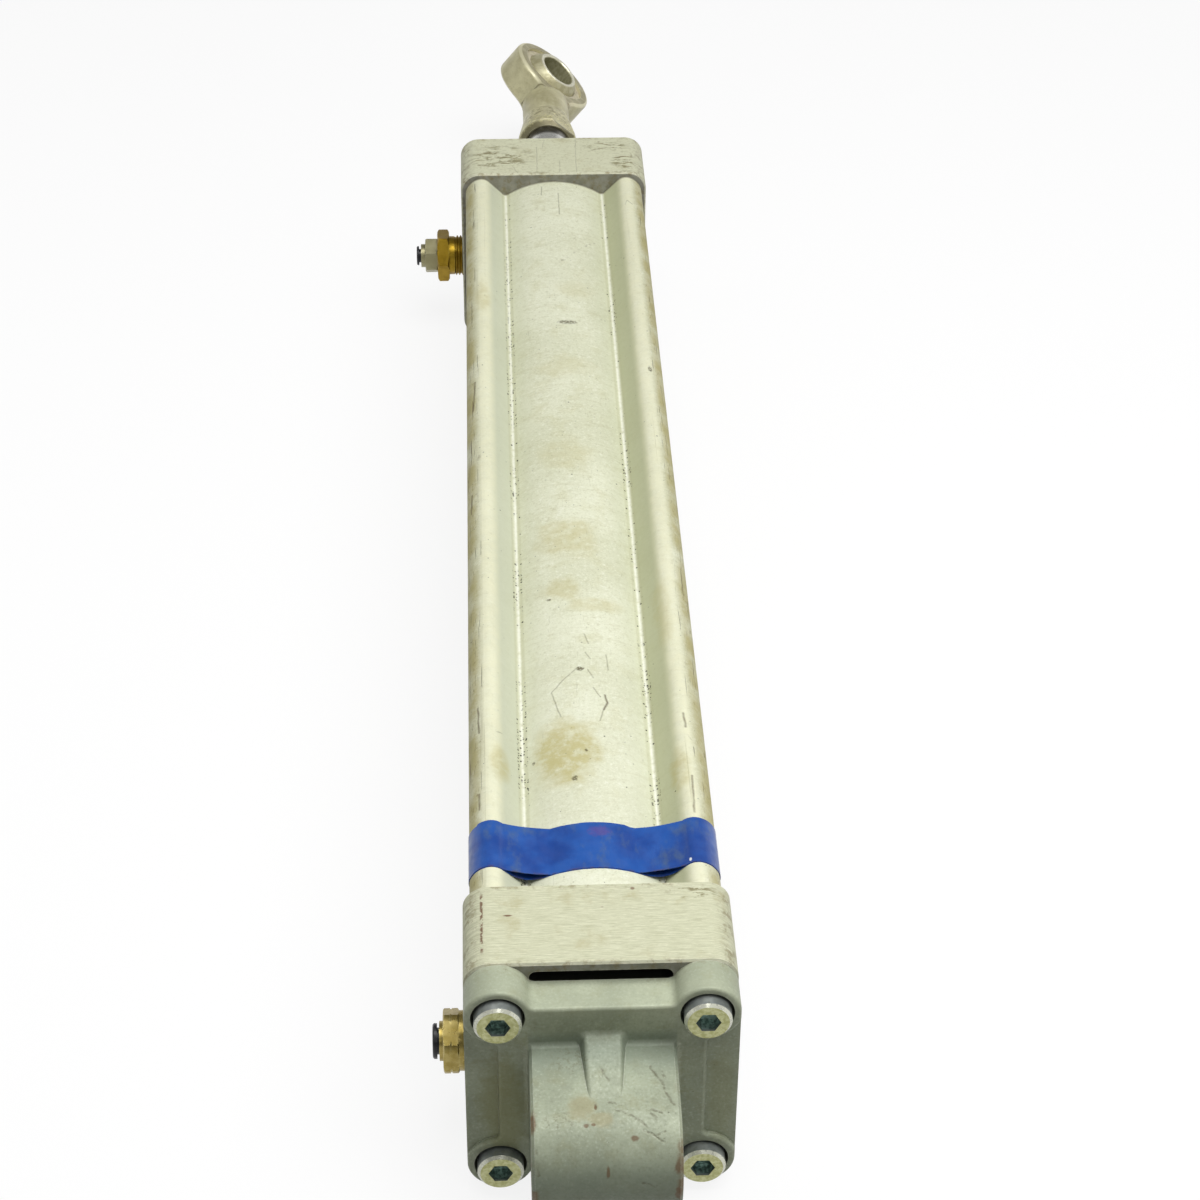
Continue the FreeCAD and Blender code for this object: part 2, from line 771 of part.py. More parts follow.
def eye_head():
    """The eye's ring with the webs that run down into the neck, hollow at both sides and round-edged."""
    half = eye_width / 2.0
    web = eye_neck_diameter / 2.0 - eye_web_inset
    centre_z = web + eye_neck_blend
    centre_y = -math.sqrt((eye_outer_radius + eye_neck_blend) ** 2 - centre_z ** 2)
    share = eye_outer_radius / (eye_outer_radius + eye_neck_blend)
    uppers = [Vector(-half, centre_y * share, side * centre_z * share) for side in (-1.0, 1.0)]
    lowers = [Vector(-half, centre_y, side * web) for side in (-1.0, 1.0)]
    edges = [Part.Arc(uppers[0], Vector(-half, eye_outer_radius, 0.0), uppers[1]).toShape(),
             line(lowers[0], lowers[1])]
    for side, upper, lower in zip((-1.0, 1.0), uppers, lowers):
        edges.append(arc(Vector(-half, centre_y, side * centre_z), upper, lower))
    head = slab(edges, Vector(eye_width, 0.0, 0.0))
    rims = [edge for value in (-half, half) for edge in edges_in_plane(head, "x", value)
            if isinstance(edge.Curve, Part.Circle)]
    return head.makeFillet(eye_edge_round, rims)


def rod_eye_housing():
    """The forged eye: a round-edged ring on a round neck, and a collar with flats and a tapped hole."""
    neck = eye_neck_diameter / 2.0
    collar = eye_collar_diameter / 2.0
    collar_end = eye_collar_length - eye_shank_length
    shank = turn_about_y([(0.0, -eye_shank_length), (collar - eye_collar_chamfer, -eye_shank_length),
                          (collar, eye_collar_chamfer - eye_shank_length), (collar, collar_end),
                          (neck, collar_end + eye_collar_taper),
                          (neck, -eye_neck_setback - eye_neck_chamfer),
                          (neck - eye_neck_chamfer, -eye_neck_setback), (0.0, -eye_neck_setback)])
    cuts = [rod_along_x(eye_seat_radius, -collar, collar),
            rod_along_y(eye_thread_bore / 2.0, -eye_shank_length,
                        rod_thread_length + eye_thread_spare - eye_shank_length)]
    for side in (-1.0, 1.0):
        reach = sorted((side * eye_flats / 2.0, side * eye_collar_diameter))
        cuts.append(box_between(Vector(reach[0], -eye_shank_length, -collar),
                                Vector(reach[1], collar_end + eye_collar_taper, collar)))
    return in_eye(eye_head().fuse(shank).cut(cuts))


def rod_eye_liner():
    """The bearing shell pressed into the eye, hollow to the ball's sphere."""
    half = liner_width / 2.0
    hollow = ball_diameter / 2.0 + ball_clearance
    lip = math.sqrt(hollow ** 2 - half ** 2)
    left = Vector(-half, 0.0, lip)
    right = Vector(half, 0.0, lip)
    edges = chain([left, Vector(-half, 0.0, eye_seat_radius), Vector(half, 0.0, eye_seat_radius), right])
    edges.append(arc(Vector(0.0, 0.0, 0.0), right, left))
    return in_eye(turn_edges_about_x(edges))


def rod_eye_ball():
    """The ball: a sphere with flat ends and a chamfered bore for the pin, resting a little tilted."""
    half = ball_width / 2.0
    bore = ball_bore / 2.0
    wide = bore + ball_bore_chamfer
    flat = half - ball_bore_chamfer
    rim = math.sqrt((ball_diameter / 2.0) ** 2 - half ** 2)
    left = Vector(-half, 0.0, rim)
    right = Vector(half, 0.0, rim)
    edges = chain([left, Vector(-half, 0.0, wide), Vector(-flat, 0.0, bore), Vector(flat, 0.0, bore),
                   Vector(half, 0.0, wide), right])
    edges.append(arc(Vector(0.0, 0.0, 0.0), right, left))
    ball = turn_edges_about_x(edges)
    ball.rotate(Vector(0.0, 0.0, 0.0), Vector(0.0, 0.0, 1.0), -ball_rest_tilt)
    return in_eye(ball)


def flange_shelves():
    """The shallow shelves at both sides of the plate, kept clear of the bosses."""
    boss = half_cap - screw_reach + shelf_boss_gap
    bosses = [rod_along_y(boss, plate_y, plate_y + shelf_depth, x, z) for x, z in screw_axes()]
    shelves = []
    for side in (-1.0, 1.0):
        inner = side * shelf_inner
        low, high = sorted((inner, side * half_cap))
        shelf = box_between(Vector(low, plate_y, -screw_reach),
                            Vector(high, plate_y + shelf_depth, screw_reach)).cut(bosses)
        corners = [edge for edge in edges_in_plane(shelf, "x", inner)
                   if edge.BoundBox.YLength > edge.BoundBox.ZLength]
        shelves.append(shelf.makeFillet(shelf_corner_round, corners))
    return shelves


def flange_plate():
    """The flange plate: round corner bosses flush with the cap, a lower waist between them, soft edges."""
    boss = half_cap - screw_reach
    fillet_z = flange_waist_height + flange_waist_fillet
    fillet_reach = boss + flange_waist_fillet
    fillet_x = screw_reach - math.sqrt(fillet_reach ** 2 - (fillet_z - screw_reach) ** 2)
    share = boss / fillet_reach
    edges = []
    for up in (1.0, -1.0):
        waist_ends = []
        for right in (1.0, -1.0):
            corner = Vector(right * screw_reach, plate_y, up * screw_reach)
            hollow = Vector(right * fillet_x, plate_y, up * fillet_z)
            waist_end = Vector(right * fillet_x, plate_y, up * flange_waist_height)
            touch = corner + (hollow - corner) * share
            side = Vector(right * half_cap, plate_y, up * screw_reach)
            edges += [arc(hollow, waist_end, touch), arc(corner, touch, side)]
            waist_ends.append(waist_end)
        edges.append(line(waist_ends[0], waist_ends[1]))
    for right in (1.0, -1.0):
        edges.append(line(Vector(right * half_cap, plate_y, screw_reach),
                          Vector(right * half_cap, plate_y, -screw_reach)))
    plate = slab(edges, Vector(0.0, plate_thickness, 0.0)).cut(flange_shelves())
    return plate.makeFillet(plate_edge_round, edges_in_plane(plate, "y", plate_y))


def lug_tangent():
    """Where the lug's sloping top leaves its round end, in Y and Z."""
    lean = math.atan2(lug_root_height, plate_y)
    opening = math.acos(lug_radius / math.hypot(plate_y, lug_root_height))
    return lug_radius * math.cos(lean + opening), lug_radius * math.sin(lean + opening)


def flange_lug():
    """The eye lug: a round end with sloping top and bottom that run into the plate."""
    half = lug_width / 2.0
    touch_y, touch_z = lug_tangent()
    top = Vector(-half, touch_y, touch_z)
    bottom = Vector(-half, touch_y, -touch_z)
    tip = Vector(-half, -lug_radius, 0.0)
    root_top = Vector(-half, plate_y, lug_root_height)
    root_bottom = Vector(-half, plate_y, -lug_root_height)
    edges = [Part.Arc(top, tip, bottom).toShape(), line(bottom, root_bottom), line(root_bottom, root_top),
             line(root_top, top)]
    body = slab(edges, Vector(lug_width, 0.0, 0.0))
    rims = [edge for value in (-half, half) for edge in edges_in_plane(body, "x", value)
            if not edges_in_plane(edge, "y", plate_y)]
    return body.makeChamfer(lug_edge_chamfer, rims)


def flange_rib(side):
    """One gusset rib, lofted from its root on the plate down into the lug above the pivot."""
    touch_y, touch_z = lug_tangent()
    slope = (lug_root_height - touch_z) / (plate_y - touch_y)
    end_y = plate_y - rib_length
    end_height = lug_root_height - slope * rib_length - rib_sink
    buried = touch_z - rib_draft
    wires = []
    for y, height, half_width in ((plate_y, rib_root_height, rib_root_half_width),
                                  (end_y, end_height, rib_end_half_width)):
        top = half_width - rib_draft * (height - buried) / (rib_root_height - buried)
        points = [Vector(-half_width, y, side * buried), Vector(half_width, y, side * buried),
                  Vector(top, y, side * height), Vector(-top, y, side * height)]
        wires.append(Part.makePolygon(points + points[:1]))
    rib = Part.makeLoft(wires, True, True)
    crests = [edge for edge in rib.Edges if edge.BoundBox.YLength > rib_length / 2.0
              and edge.BoundBox.ZLength > rib_sink]
    return rib.makeFillet(rib_edge_round, crests)


def root_edges(body):
    """The edges where lug and ribs rise from the plate."""
    reach_x = lug_width / 2.0 + lug_edge_chamfer
    reach_z = rib_root_height + rib_draft

    def inside(edge):
        return all(abs(point.x) < reach_x and abs(point.z) < reach_z for point in edge.discretize(3))

    return [edge for edge in edges_in_plane(body, "y", plate_y) if inside(edge)]


def rear_swivel_flange():
    """The cast flange: bossed plate, eye lug and ribs in one piece, drilled and counterbored."""
    body = flange_plate().multiFuse([flange_lug(), flange_rib(1.0), flange_rib(-1.0)]).removeSplitter()
    body = body.makeFillet(root_fillet, root_edges(body))
    pilot = rod_along_y(pilot_radius, pivot_reach, pivot_reach + pilot_length - loose_clearance)
    half = lug_width / 2.0
    bore = pivot_bore / 2.0
    wide = bore + pivot_bore_chamfer
    flat = half - pivot_bore_chamfer
    cuts = [turn_about_x([(0.0, -half), (wide, -half), (bore, -flat), (bore, flat), (wide, half),
                          (0.0, half)])]
    seat_radius = flange_screw_head_diameter / 2.0 + counterbore_gap
    hole_radius = flange_screw_diameter / 2.0 + screw_hole_gap
    for x, z in screw_axes():
        cuts.append(rod_along_y(seat_radius, plate_y, plate_y + counterbore_depth, x, z))
        cuts.append(rod_along_y(hole_radius, plate_y, pivot_reach, x, z))
    return body.fuse(pilot).cut(cuts)


def flange_screws():
    """Four socket-head screws that hold the flange on the tube screws' heads."""
    seat = plate_y + counterbore_depth
    top = seat - flange_screw_head_height
    head = flange_screw_head_diameter / 2.0
    shank = flange_screw_diameter / 2.0
    core = flange_screw_core / 2.0
    end = pivot_reach + tube_screw_setback + flange_screw_grip
    section = [(0.0, top), (head - flange_screw_edge, top), (head, top + flange_screw_edge), (head, seat),
               (shank, seat), (shank, pivot_reach), (core, pivot_reach), (core, end), (0.0, end)]
    screws = []
    for x, z in screw_axes():
        key = hexagon_along_y(flange_screw_key, top, top + flange_screw_key_depth, x, z)
        screws.append(turn_about_y(section, x, z).cut(key))
    return Part.makeCompound(screws)


class Fitting:
    """A push-in air fitting on the -X face, measured by its reach out from that face."""

    def __init__(self, cap, tube_diameter, collar_diameter, collar_thickness, collar_travel, nose_reach):
        self.y = cap.port_y
        self.z = -port_offset
        self.tube_radius = tube_diameter / 2.0 + tube_socket_gap
        self.sleeve_radius = self.tube_radius + collar_sleeve_wall
        self.chamber_radius = self.sleeve_radius + running_clearance
        self.collar_radius = collar_diameter / 2.0
        self.collar_thickness = collar_thickness
        self.collar_gap = collar_travel + groove_clearance
        self.nose_reach = nose_reach
        self.sleeve_end = nose_reach - collar_sleeve_length
        self.grip_end = self.sleeve_end - collar_travel - loose_clearance - grip_length
        self.oring_end = self.grip_end - tube_oring_section
        self.socket_end = self.oring_end - tube_socket_length

    def turned(self, radius_and_reach):
        """A turned piece from its closed half-section."""
        section = [(radius, -half_cap - reach) for radius, reach in radius_and_reach]
        return turn_about_x(section, self.y, self.z)

    def bar(self, radius, start, end):
        """A round bar between two reaches."""
        return rod_along_x(radius, -half_cap - start, -half_cap - end, self.y, self.z)

    def hexagon(self, across_flats, start, end, turn, bar_share):
        """A chamfered hexagon between two reaches."""
        return hexagon_along_x(across_flats, -half_cap - start, -half_cap - end, self.y, self.z, turn,
                               bar_share)

    def hollow(self, inner_end):
        """What is bored out: chamber for sleeve, grip and seal, then the tube's socket and the airway."""
        air = self.tube_radius - tube_stop_diameter_loss / 2.0
        return [self.bar(self.chamber_radius, self.oring_end, self.nose_reach),
                self.bar(self.tube_radius, self.socket_end, self.oring_end),
                self.bar(air, inner_end, self.socket_end)]

    def release_collar(self):
        """The collar that is pressed in to let the tube go, with the sleeve that opens the grip."""
        start = self.nose_reach + self.collar_gap
        end = start + self.collar_thickness
        edge = self.collar_thickness / 3.0
        return self.turned([(self.tube_radius, self.sleeve_end), (self.sleeve_radius, self.sleeve_end),
                            (self.sleeve_radius, start), (self.collar_radius, start),
                            (self.collar_radius, end - edge), (self.collar_radius - edge, end),
                            (self.tube_radius, end)])

    def tube_grip(self):
        """The toothed ring that holds the tube, coned inwards."""
        outer = self.chamber_radius
        inner = self.tube_radius
        wall = (outer - inner) / 2.0
        return self.turned([(outer, self.grip_end), (outer, self.grip_end + grip_length),
                            (outer - wall, self.grip_end + grip_length), (inner, self.grip_end + wall),
                            (inner, self.grip_end)])

    def tube_oring(self):
        """The ring that seals on the tube."""
        wall = self.chamber_radius - self.tube_radius
        section = min(wall, tube_oring_section) / 2.0 - slip_clearance
        middle = -half_cap - (self.oring_end + self.grip_end) / 2.0
        return Part.makeTorus(self.chamber_radius - slip_clearance - section, section,
                              Vector(middle, self.y, self.z), Vector(1.0, 0.0, 0.0))


front_hex_start = front_thread_showing + front_relief_length
front_body_start = front_hex_start + front_hex_length
front_nose_start = front_body_start + front_body_length
front_fitting = Fitting(front, front_tube_diameter, front_collar_diameter, front_collar_thickness,
                        front_collar_travel, front_nose_start + front_nose_length)
rear_nose_start = rear_washer_length + rear_hex_length
rear_fitting = Fitting(rear, rear_tube_diameter, rear_collar_diameter, rear_collar_thickness,
                       rear_collar_travel, rear_nose_start + rear_nose_length)


def front_reducer():
    """The brass reducer: not screwed right home, so some of its thread stands out of the cap."""
    fitting = front_fitting
    stub = front_stub_core / 2.0 + slip_clearance
    body = fitting.bar(port_core_radius, -fitting_thread_grip, front_thread_showing)
    body = body.multiFuse([fitting.bar(front_relief_diameter / 2.0, front_thread_showing, front_hex_start),
                           fitting.hexagon(front_hex, front_hex_start, front_body_start, front_hex_turn,
                                           front_hex_bar_share)])
    return body.cut([fitting.bar(stub, front_body_start - front_stub_length, front_body_start),
                     fitting.bar(front_reducer_bore / 2.0, -fitting_thread_grip, front_body_start)])


def front_push_in_body():
    """The nickelled push-in body: hexagon, round nose and the stub that screws into the reducer."""
    fitting = front_fitting
    stub_end = front_body_start - front_stub_length
    body = fitting.hexagon(front_body_hex, front_body_start, front_nose_start, front_body_turn,
                           front_hex_bar_share)
    body = body.multiFuse([fitting.bar(front_stub_core / 2.0, stub_end, front_body_start),
                           fitting.bar(front_nose_diameter / 2.0, front_nose_start, fitting.nose_reach)])
    return body.cut(fitting.hollow(stub_end))


def rear_fitting_body():
    """The brass push-in body: sealing collar, grooved hexagon, nose and port thread."""
    fitting = rear_fitting
    body = fitting.bar(port_core_radius, -fitting_thread_grip, 0.0)
    body = body.multiFuse([fitting.bar(rear_washer_diameter / 2.0, 0.0, rear_washer_length),
                           fitting.hexagon(rear_hex, rear_washer_length, rear_nose_start, rear_hex_turn,
                                           rear_hex_bar_share),
                           fitting.bar(rear_nose_diameter / 2.0, rear_nose_start, fitting.nose_reach)])
    middle = rear_washer_length + rear_hex_length / 2.0
    half_groove = rear_groove_width / 2.0
    floor = hexagon_corner(rear_hex) * rear_hex_bar_share - rear_groove_depth
    groove = fitting.bar(rear_hex, middle - half_groove, middle + half_groove)
    groove = groove.cut(fitting.bar(floor, middle - half_groove, middle + half_groove))
    return body.cut(fitting.hollow(-fitting_thread_grip) + [groove])


pieces = {
    "barrel_profile": barrel_profile,
    "front_cap": front_cap,
    "rear_cap": rear_cap,
    "front_cap_screws": front.tube_screws,
    "rear_cap_screws": rear.tube_screws,
    "front_cap_oring": front.oring,
    "rear_cap_oring": rear.oring,
    "front_cushion_seal": front.cushion_seal,
    "rear_cushion_seal": rear.cushion_seal,
    "front_cushion_screw": front.needle,
    "rear_cushion_screw": rear.needle,
    "front_cushion_screw_oring": front.needle_oring,
    "rear_cushion_screw_oring": rear.needle_oring,
    "rod_bush": rod_bush,
    "rod_wiper_seal": rod_wiper_seal,
    "rear_swivel_flange": rear_swivel_flange,
    "flange_screws": flange_screws,
    "tape_band": tape_band,
    "front_reducer": front_reducer,
    "front_push_in_body": front_push_in_body,
    "front_release_collar": front_fitting.release_collar,
    "front_tube_grip": front_fitting.tube_grip,
    "front_tube_oring": front_fitting.tube_oring,
    "rear_fitting_body": rear_fitting_body,
    "rear_release_collar": rear_fitting.release_collar,
    "rear_tube_grip": rear_fitting.tube_grip,
    "rear_tube_oring": rear_fitting.tube_oring,
    "front_piston_seal": lambda: piston_seal(piston_front_y),
    "rear_piston_seal": lambda: piston_seal(piston_rear_y),
    "piston_guide_ring": piston_guide_ring,
    "piston_front_half": lambda: piston_half(piston_front_y),
    "piston_rear_half": lambda: piston_half(piston_rear_y),
    "piston_magnet": piston_magnet,
    "piston_nut": piston_nut,
    "front_cushion_sleeve": lambda: cushion_sleeve(rod_radius + slip_clearance, piston_front_y, 1.0),
    "rear_cushion_sleeve": lambda: cushion_sleeve(tail_radius + slip_clearance, piston_rear_y, -1.0),
    "piston_rod": piston_rod,
    "rod_eye_housing": rod_eye_housing,
    "rod_eye_liner": rod_eye_liner,
    "rod_eye_ball": rod_eye_ball,
}

os.makedirs("parts", exist_ok=True)
for piece_name, make_piece in pieces.items():
    save(piece_name, make_piece())
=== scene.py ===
import json
import math

import bmesh
import bpy
from mathutils import Euler, Matrix, Vector


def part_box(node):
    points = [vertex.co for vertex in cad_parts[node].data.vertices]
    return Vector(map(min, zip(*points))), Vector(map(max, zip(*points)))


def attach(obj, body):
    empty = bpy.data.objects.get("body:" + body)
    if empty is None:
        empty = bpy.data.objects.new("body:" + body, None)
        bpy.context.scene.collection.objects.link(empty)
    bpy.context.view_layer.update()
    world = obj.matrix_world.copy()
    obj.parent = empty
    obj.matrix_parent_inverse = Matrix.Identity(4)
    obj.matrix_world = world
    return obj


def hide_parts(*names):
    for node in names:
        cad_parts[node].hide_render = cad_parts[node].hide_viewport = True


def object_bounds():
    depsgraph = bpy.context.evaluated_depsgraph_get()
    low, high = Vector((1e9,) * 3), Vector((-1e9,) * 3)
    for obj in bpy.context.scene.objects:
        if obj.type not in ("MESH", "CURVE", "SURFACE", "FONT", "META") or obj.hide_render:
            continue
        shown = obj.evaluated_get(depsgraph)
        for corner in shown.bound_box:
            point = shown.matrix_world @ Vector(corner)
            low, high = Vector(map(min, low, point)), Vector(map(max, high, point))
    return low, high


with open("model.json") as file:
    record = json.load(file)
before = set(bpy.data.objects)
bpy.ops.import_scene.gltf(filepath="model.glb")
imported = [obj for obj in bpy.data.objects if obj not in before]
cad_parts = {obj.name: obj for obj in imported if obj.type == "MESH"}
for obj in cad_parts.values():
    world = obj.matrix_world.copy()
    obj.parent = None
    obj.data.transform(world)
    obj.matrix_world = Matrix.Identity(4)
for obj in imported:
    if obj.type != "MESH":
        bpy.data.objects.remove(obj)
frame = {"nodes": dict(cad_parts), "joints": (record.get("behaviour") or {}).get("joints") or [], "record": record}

# The looks of a used pneumatic cylinder. Blender's objects are in metres in the part's own frame. Sizes,
# places and the materials' patterns are in millimetres here, and MM turns them into metres. The origin is the
# middle of the rear eye, with +Y along the cylinder and +Z up.
MM = 0.001
X, Y, Z = range(3)
cad_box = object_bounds()
nodes = frame["nodes"]
mounts = {mount["name"]: mount for mount in frame["record"]["mounts"]}
joints = {joint["name"]: joint for joint in frame["joints"]}


def millimetres(metres):
    """A length of the frame in millimetres, to the hundredth."""
    return round(metres / MM, 2)


def span(node, axis):
    """Where a CAD node starts and ends along an axis."""
    low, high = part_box(node)
    return millimetres(low[axis]), millimetres(high[axis])


# Places from the frame, on pieces that stay still
SCREW_FACE = span("flange_screws", Y)[0]
REAR_FACE = span("rear_cap", Y)[0]
TUBE_START, TUBE_END = span("barrel_profile", Y)
FRONT_FACE = span("front_cap", Y)[1] - mounts["front_pilot"]["dims"]["length_mm"]
CAP_TOP = span("front_cap", Z)[1]
CAP_LEFT = span("front_cap", X)[0]
TAPE_START, TAPE_END = span("tape_band", Y)
SCREW_REACH = mounts["front_bolts"]["dims"]["spacing_x_mm"] / 2.0
PORT_Y, PORT_Z = [millimetres(value) for value in mounts["front_tube_socket"]["pos_m"][Y:]]

# The rod eye at rest: its middle, the ball's bore and the way across its own ring
EYE_MIDDLE = tuple(millimetres(value) for value in mounts["rod_eye_bore"]["pos_m"])
BALL_AXIS = tuple(mounts["rod_eye_bore"]["axis"])
BALL_BORE = mounts["rod_eye_bore"]["dims"]["r_mm"]
EYE_AXIS = tuple(Vector((0.0, 1.0, 0.0)).cross(Vector(joints["eye_ball_tilt"]["axis"])))
NECK_END = EYE_MIDDLE[Y] - 21.3
COLLAR_START = EYE_MIDDLE[Y] - 62.0

# The tube's section: round, with four lobes on the screws' axes, and places across it from its middle plane
TUBE_RADIUS = 34.0
TUBE_TOP = TUBE_RADIUS - 0.1
LOBE_RADIUS = 7.5
LOBE_HALF_WIDTH = 5.8
LOBE_EDGE_RADIUS = 4.5
CROWN_END = 19.0
HOLLOW = 19.5
LOBE_FLANK = 23.6
LOBE_CREST = 28.6

# Half the width of the flange's lug, and the screws' thread
LUG_HALF = 20.0
SCREW_PITCH = 1.25

# The caps' pockets: their middle behind the cap's outer face and above its axis, and half their sizes
POCKET_MIDDLE = 7.1
POCKET_HEIGHT = 30.08
POCKET_HALF_DEPTH = 7.0
POCKET_HALF_HEIGHT = 4.7
POCKET_HALF_WIDTH = 20.0

# Angles round the tube in degrees: where the tape lands on the crown, counted from a lobe, and where the step
# in its far edge starts and ends
TAPE_LANDING = 24.0
TAPE_STEP_START = 73.0
TAPE_STEP_END = 134.0

# How turning rings are stretched about a fitting's axis (X), a softer fitting's and the cylinder's (Y)
RINGS_X = (2.4, 0.06, 0.06)
SOFT_RINGS_X = (1.2, 0.06, 0.06)
RINGS_Y = (0.06, 2.4, 0.06)

# Marks on the tube: stains and smudges by centre and radii, stains with a strength, scratches by corners
TUBE_STAINS = [
    ((-3.0, 238.0, 33.5), (13.0, 14.0, 12.0), 0.42), ((-6.5, 127.5, 33.5), (12.5, 19.0, 12.0), 0.74),
    ((-5.0, 210.0, 33.5), (8.0, 8.0, 12.0), 0.42), ((5.0, 201.0, 33.5), (11.0, 5.0, 12.0), 0.34),
    ((-2.0, 290.0, 33.5), (12.0, 13.0, 12.0), 0.26), ((0.0, 348.0, 33.5), (13.0, 9.0, 12.0), 0.24),
    ((-26.0, 121.0, 35.0), (4.0, 10.0, 7.0), 0.5), ((26.5, 116.0, 35.0), (4.0, 12.0, 7.0), 0.5),
    ((26.0, 196.0, 35.0), (4.0, 26.0, 7.0), 0.3), ((-29.5, 395.0, 35.0), (4.0, 14.0, 7.0), 0.4),
    ((6.0, 404.0, 33.5), (9.0, 9.0, 12.0), 0.2)]
TUBE_SMUDGES = [
    ((2.2, 378.8, 33.8), (4.6, 1.7, 9.0)), ((-0.9, 167.0, 33.9), (1.5, 1.4, 9.0)),
    ((-4.3, 114.5, 33.7), (1.2, 1.5, 9.0)), ((-9.6, 205.2, 32.6), (0.9, 0.9, 4.0)),
    ((-16.3, 126.1, 29.8), (0.7, 0.9, 4.0)), ((-0.4, 127.1, 34.0), (0.6, 0.9, 4.0)),
    ((30.7, 342.0, 35.3), (1.0, 2.4, 4.0))]
TUBE_SCRATCHES = [
    ((-1.6, 167.7, TUBE_TOP), (-6.5, 161.8, 33.4), (-10.1, 156.9, 32.5), (-7.6, 144.2, 33.1)),
    ((2.8, 157.5, TUBE_TOP), (4.9, 153.0, 33.6)), ((5.7, 147.0, 33.5), (4.3, 141.2, 33.7)),
    ((1.0, 184.9, TUBE_TOP), (2.2, 179.9, TUBE_TOP)), ((1.0, 175.4, TUBE_TOP), (2.5, 172.0, TUBE_TOP)),
    ((7.5, 174.8, 33.2), (7.9, 167.1, 33.1)), ((1.4, 166.6, TUBE_TOP), (3.1, 162.3, TUBE_TOP)),
    ((1.6, 480.9, TUBE_TOP), (1.5, 463.1, TUBE_TOP)),
    ((-26.8, 139.4, 35.4), (-27.3, 135.2, 35.5), (-22.5, 137.5, 31.5)),
    ((-31.0, 236.4, 35.0), (-31.1, 227.7, 35.0)), ((-32.6, 244.9, 34.2), (-34.2, 244.4, 32.6)),
    ((27.6, 466.0, 35.6), (28.6, 471.0, 35.7), (30.6, 468.0, 35.3)),
    ((-5.0, 487.0, 33.6), (-5.2, 480.0, 33.6))]
TUBE_TRAIL = [((0.8, 424.4, TUBE_TOP), (14.6, 445.2, 30.7))]
TUBE_GOUGES = [
    ((6.2, 154.1, 33.4), (6.9, 150.5, 33.3), (5.7, 147.0, 33.5)),
    ((29.5, 141.6, 35.4), (29.8, 135.2, 35.4)), ((30.1, 112.3, 35.3), (29.7, 95.8, 35.4)),
    ((-32.5, 147.6, 34.2), (-32.3, 135.4, 34.4)), ((-32.4, 107.0, 34.3), (-32.4, 100.1, 34.3)),
    ((-33.8, 265.3, 33.1), (-34.1, 254.5, 32.7)), ((-32.4, 336.2, 34.3), (-33.2, 317.8, 33.7))]

# Marks on the caps' top faces
CAP_SCUFFS = [
    ((-21.0, 506.0, CAP_TOP - 0.5), (16.0, 13.0, 12.0)), ((29.0, 501.0, CAP_TOP - 0.5), (7.0, 10.0, 12.0)),
    ((22.0, 514.0, CAP_TOP - 0.5), (12.0, 5.0, 12.0)), ((26.0, 60.0, CAP_TOP - 0.5), (9.0, 4.0, 12.0))]
CAP_BRUISES = [
    ((25.6, 497.5, CAP_TOP), (31.0, 496.3, CAP_TOP)), ((27.0, 502.5, CAP_TOP), (31.5, 502.0, CAP_TOP)),
    ((31.9, 508.0, CAP_TOP), (32.2, 505.5, CAP_TOP)), ((17.2, 511.7, CAP_TOP), (24.9, 513.5, CAP_TOP)),
    ((22.2, 491.4, CAP_TOP), (31.0, 492.4, CAP_TOP)), ((-30.0, 499.0, CAP_TOP), (-25.0, 498.6, CAP_TOP)),
    ((-30.0, 509.0, CAP_TOP), (-22.0, 510.5, CAP_TOP)), ((-18.0, 503.0, CAP_TOP), (-13.0, 506.5, CAP_TOP)),
    ((-9.0, 491.6, CAP_TOP - 0.2), (-3.0, 491.7, CAP_TOP - 0.2))]
CAP_CRACKS = [
    ((-6.2, 515.0, CAP_TOP), (-6.6, 491.7, CAP_TOP)), ((9.7, 521.0, CAP_TOP), (9.4, 492.0, CAP_TOP)),
    ((2.8, 502.0, CAP_TOP), (2.6, 492.0, CAP_TOP)), ((-16.5, 498.0, CAP_TOP), (-14.5, 492.0, CAP_TOP)),
    ((-3.0, 521.0, CAP_TOP), (-4.0, 513.5, CAP_TOP))]
RUST_X, RUST_Y = -32.2, 49.0
RUST_SPOT = ((-25.0, 51.5, CAP_TOP), (1.6, 0.5, 6.0))

# Marks on the flange's lug
LUG_SCRATCHES = [
    ((12.6, 12.9, 17.3), (15.2, 7.3, 16.7), (16.4, 3.3, 16.4), (17.9, -0.3, 16.0)),
    ((15.4, 11.0, 17.1), (16.2, 8.8, 16.9)), ((11.0, -1.5, 15.9), (14.9, -2.4, 15.8)),
    ((12.0, -3.0, 15.7), (13.3, -4.3, 15.4)), ((1.0, 1.3, 16.2), (4.1, -0.1, 16.1)),
    ((3.1, -1.6, 15.9), (6.0, -3.1, 15.7), (9.9, -5.6, 15.0), (10.7, -6.5, 14.6)),
    ((9.5, -7.3, 14.3), (12.6, -8.6, 13.5), (15.2, -7.9, 13.9)), ((12.6, -8.6, 13.5), (15.1, -9.8, 12.6)),
    ((9.2, -15.7, 3.0), (12.3, -15.9, 1.8)), ((-3.0, 0.3, 16.1), (-2.7, -1.1, 16.0)),
    ((-18.5, -11.2, 11.4), (-18.4, -14.9, 5.9)), ((-0.5, 10.4, 18.9), (1.0, 7.4, 17.9))]
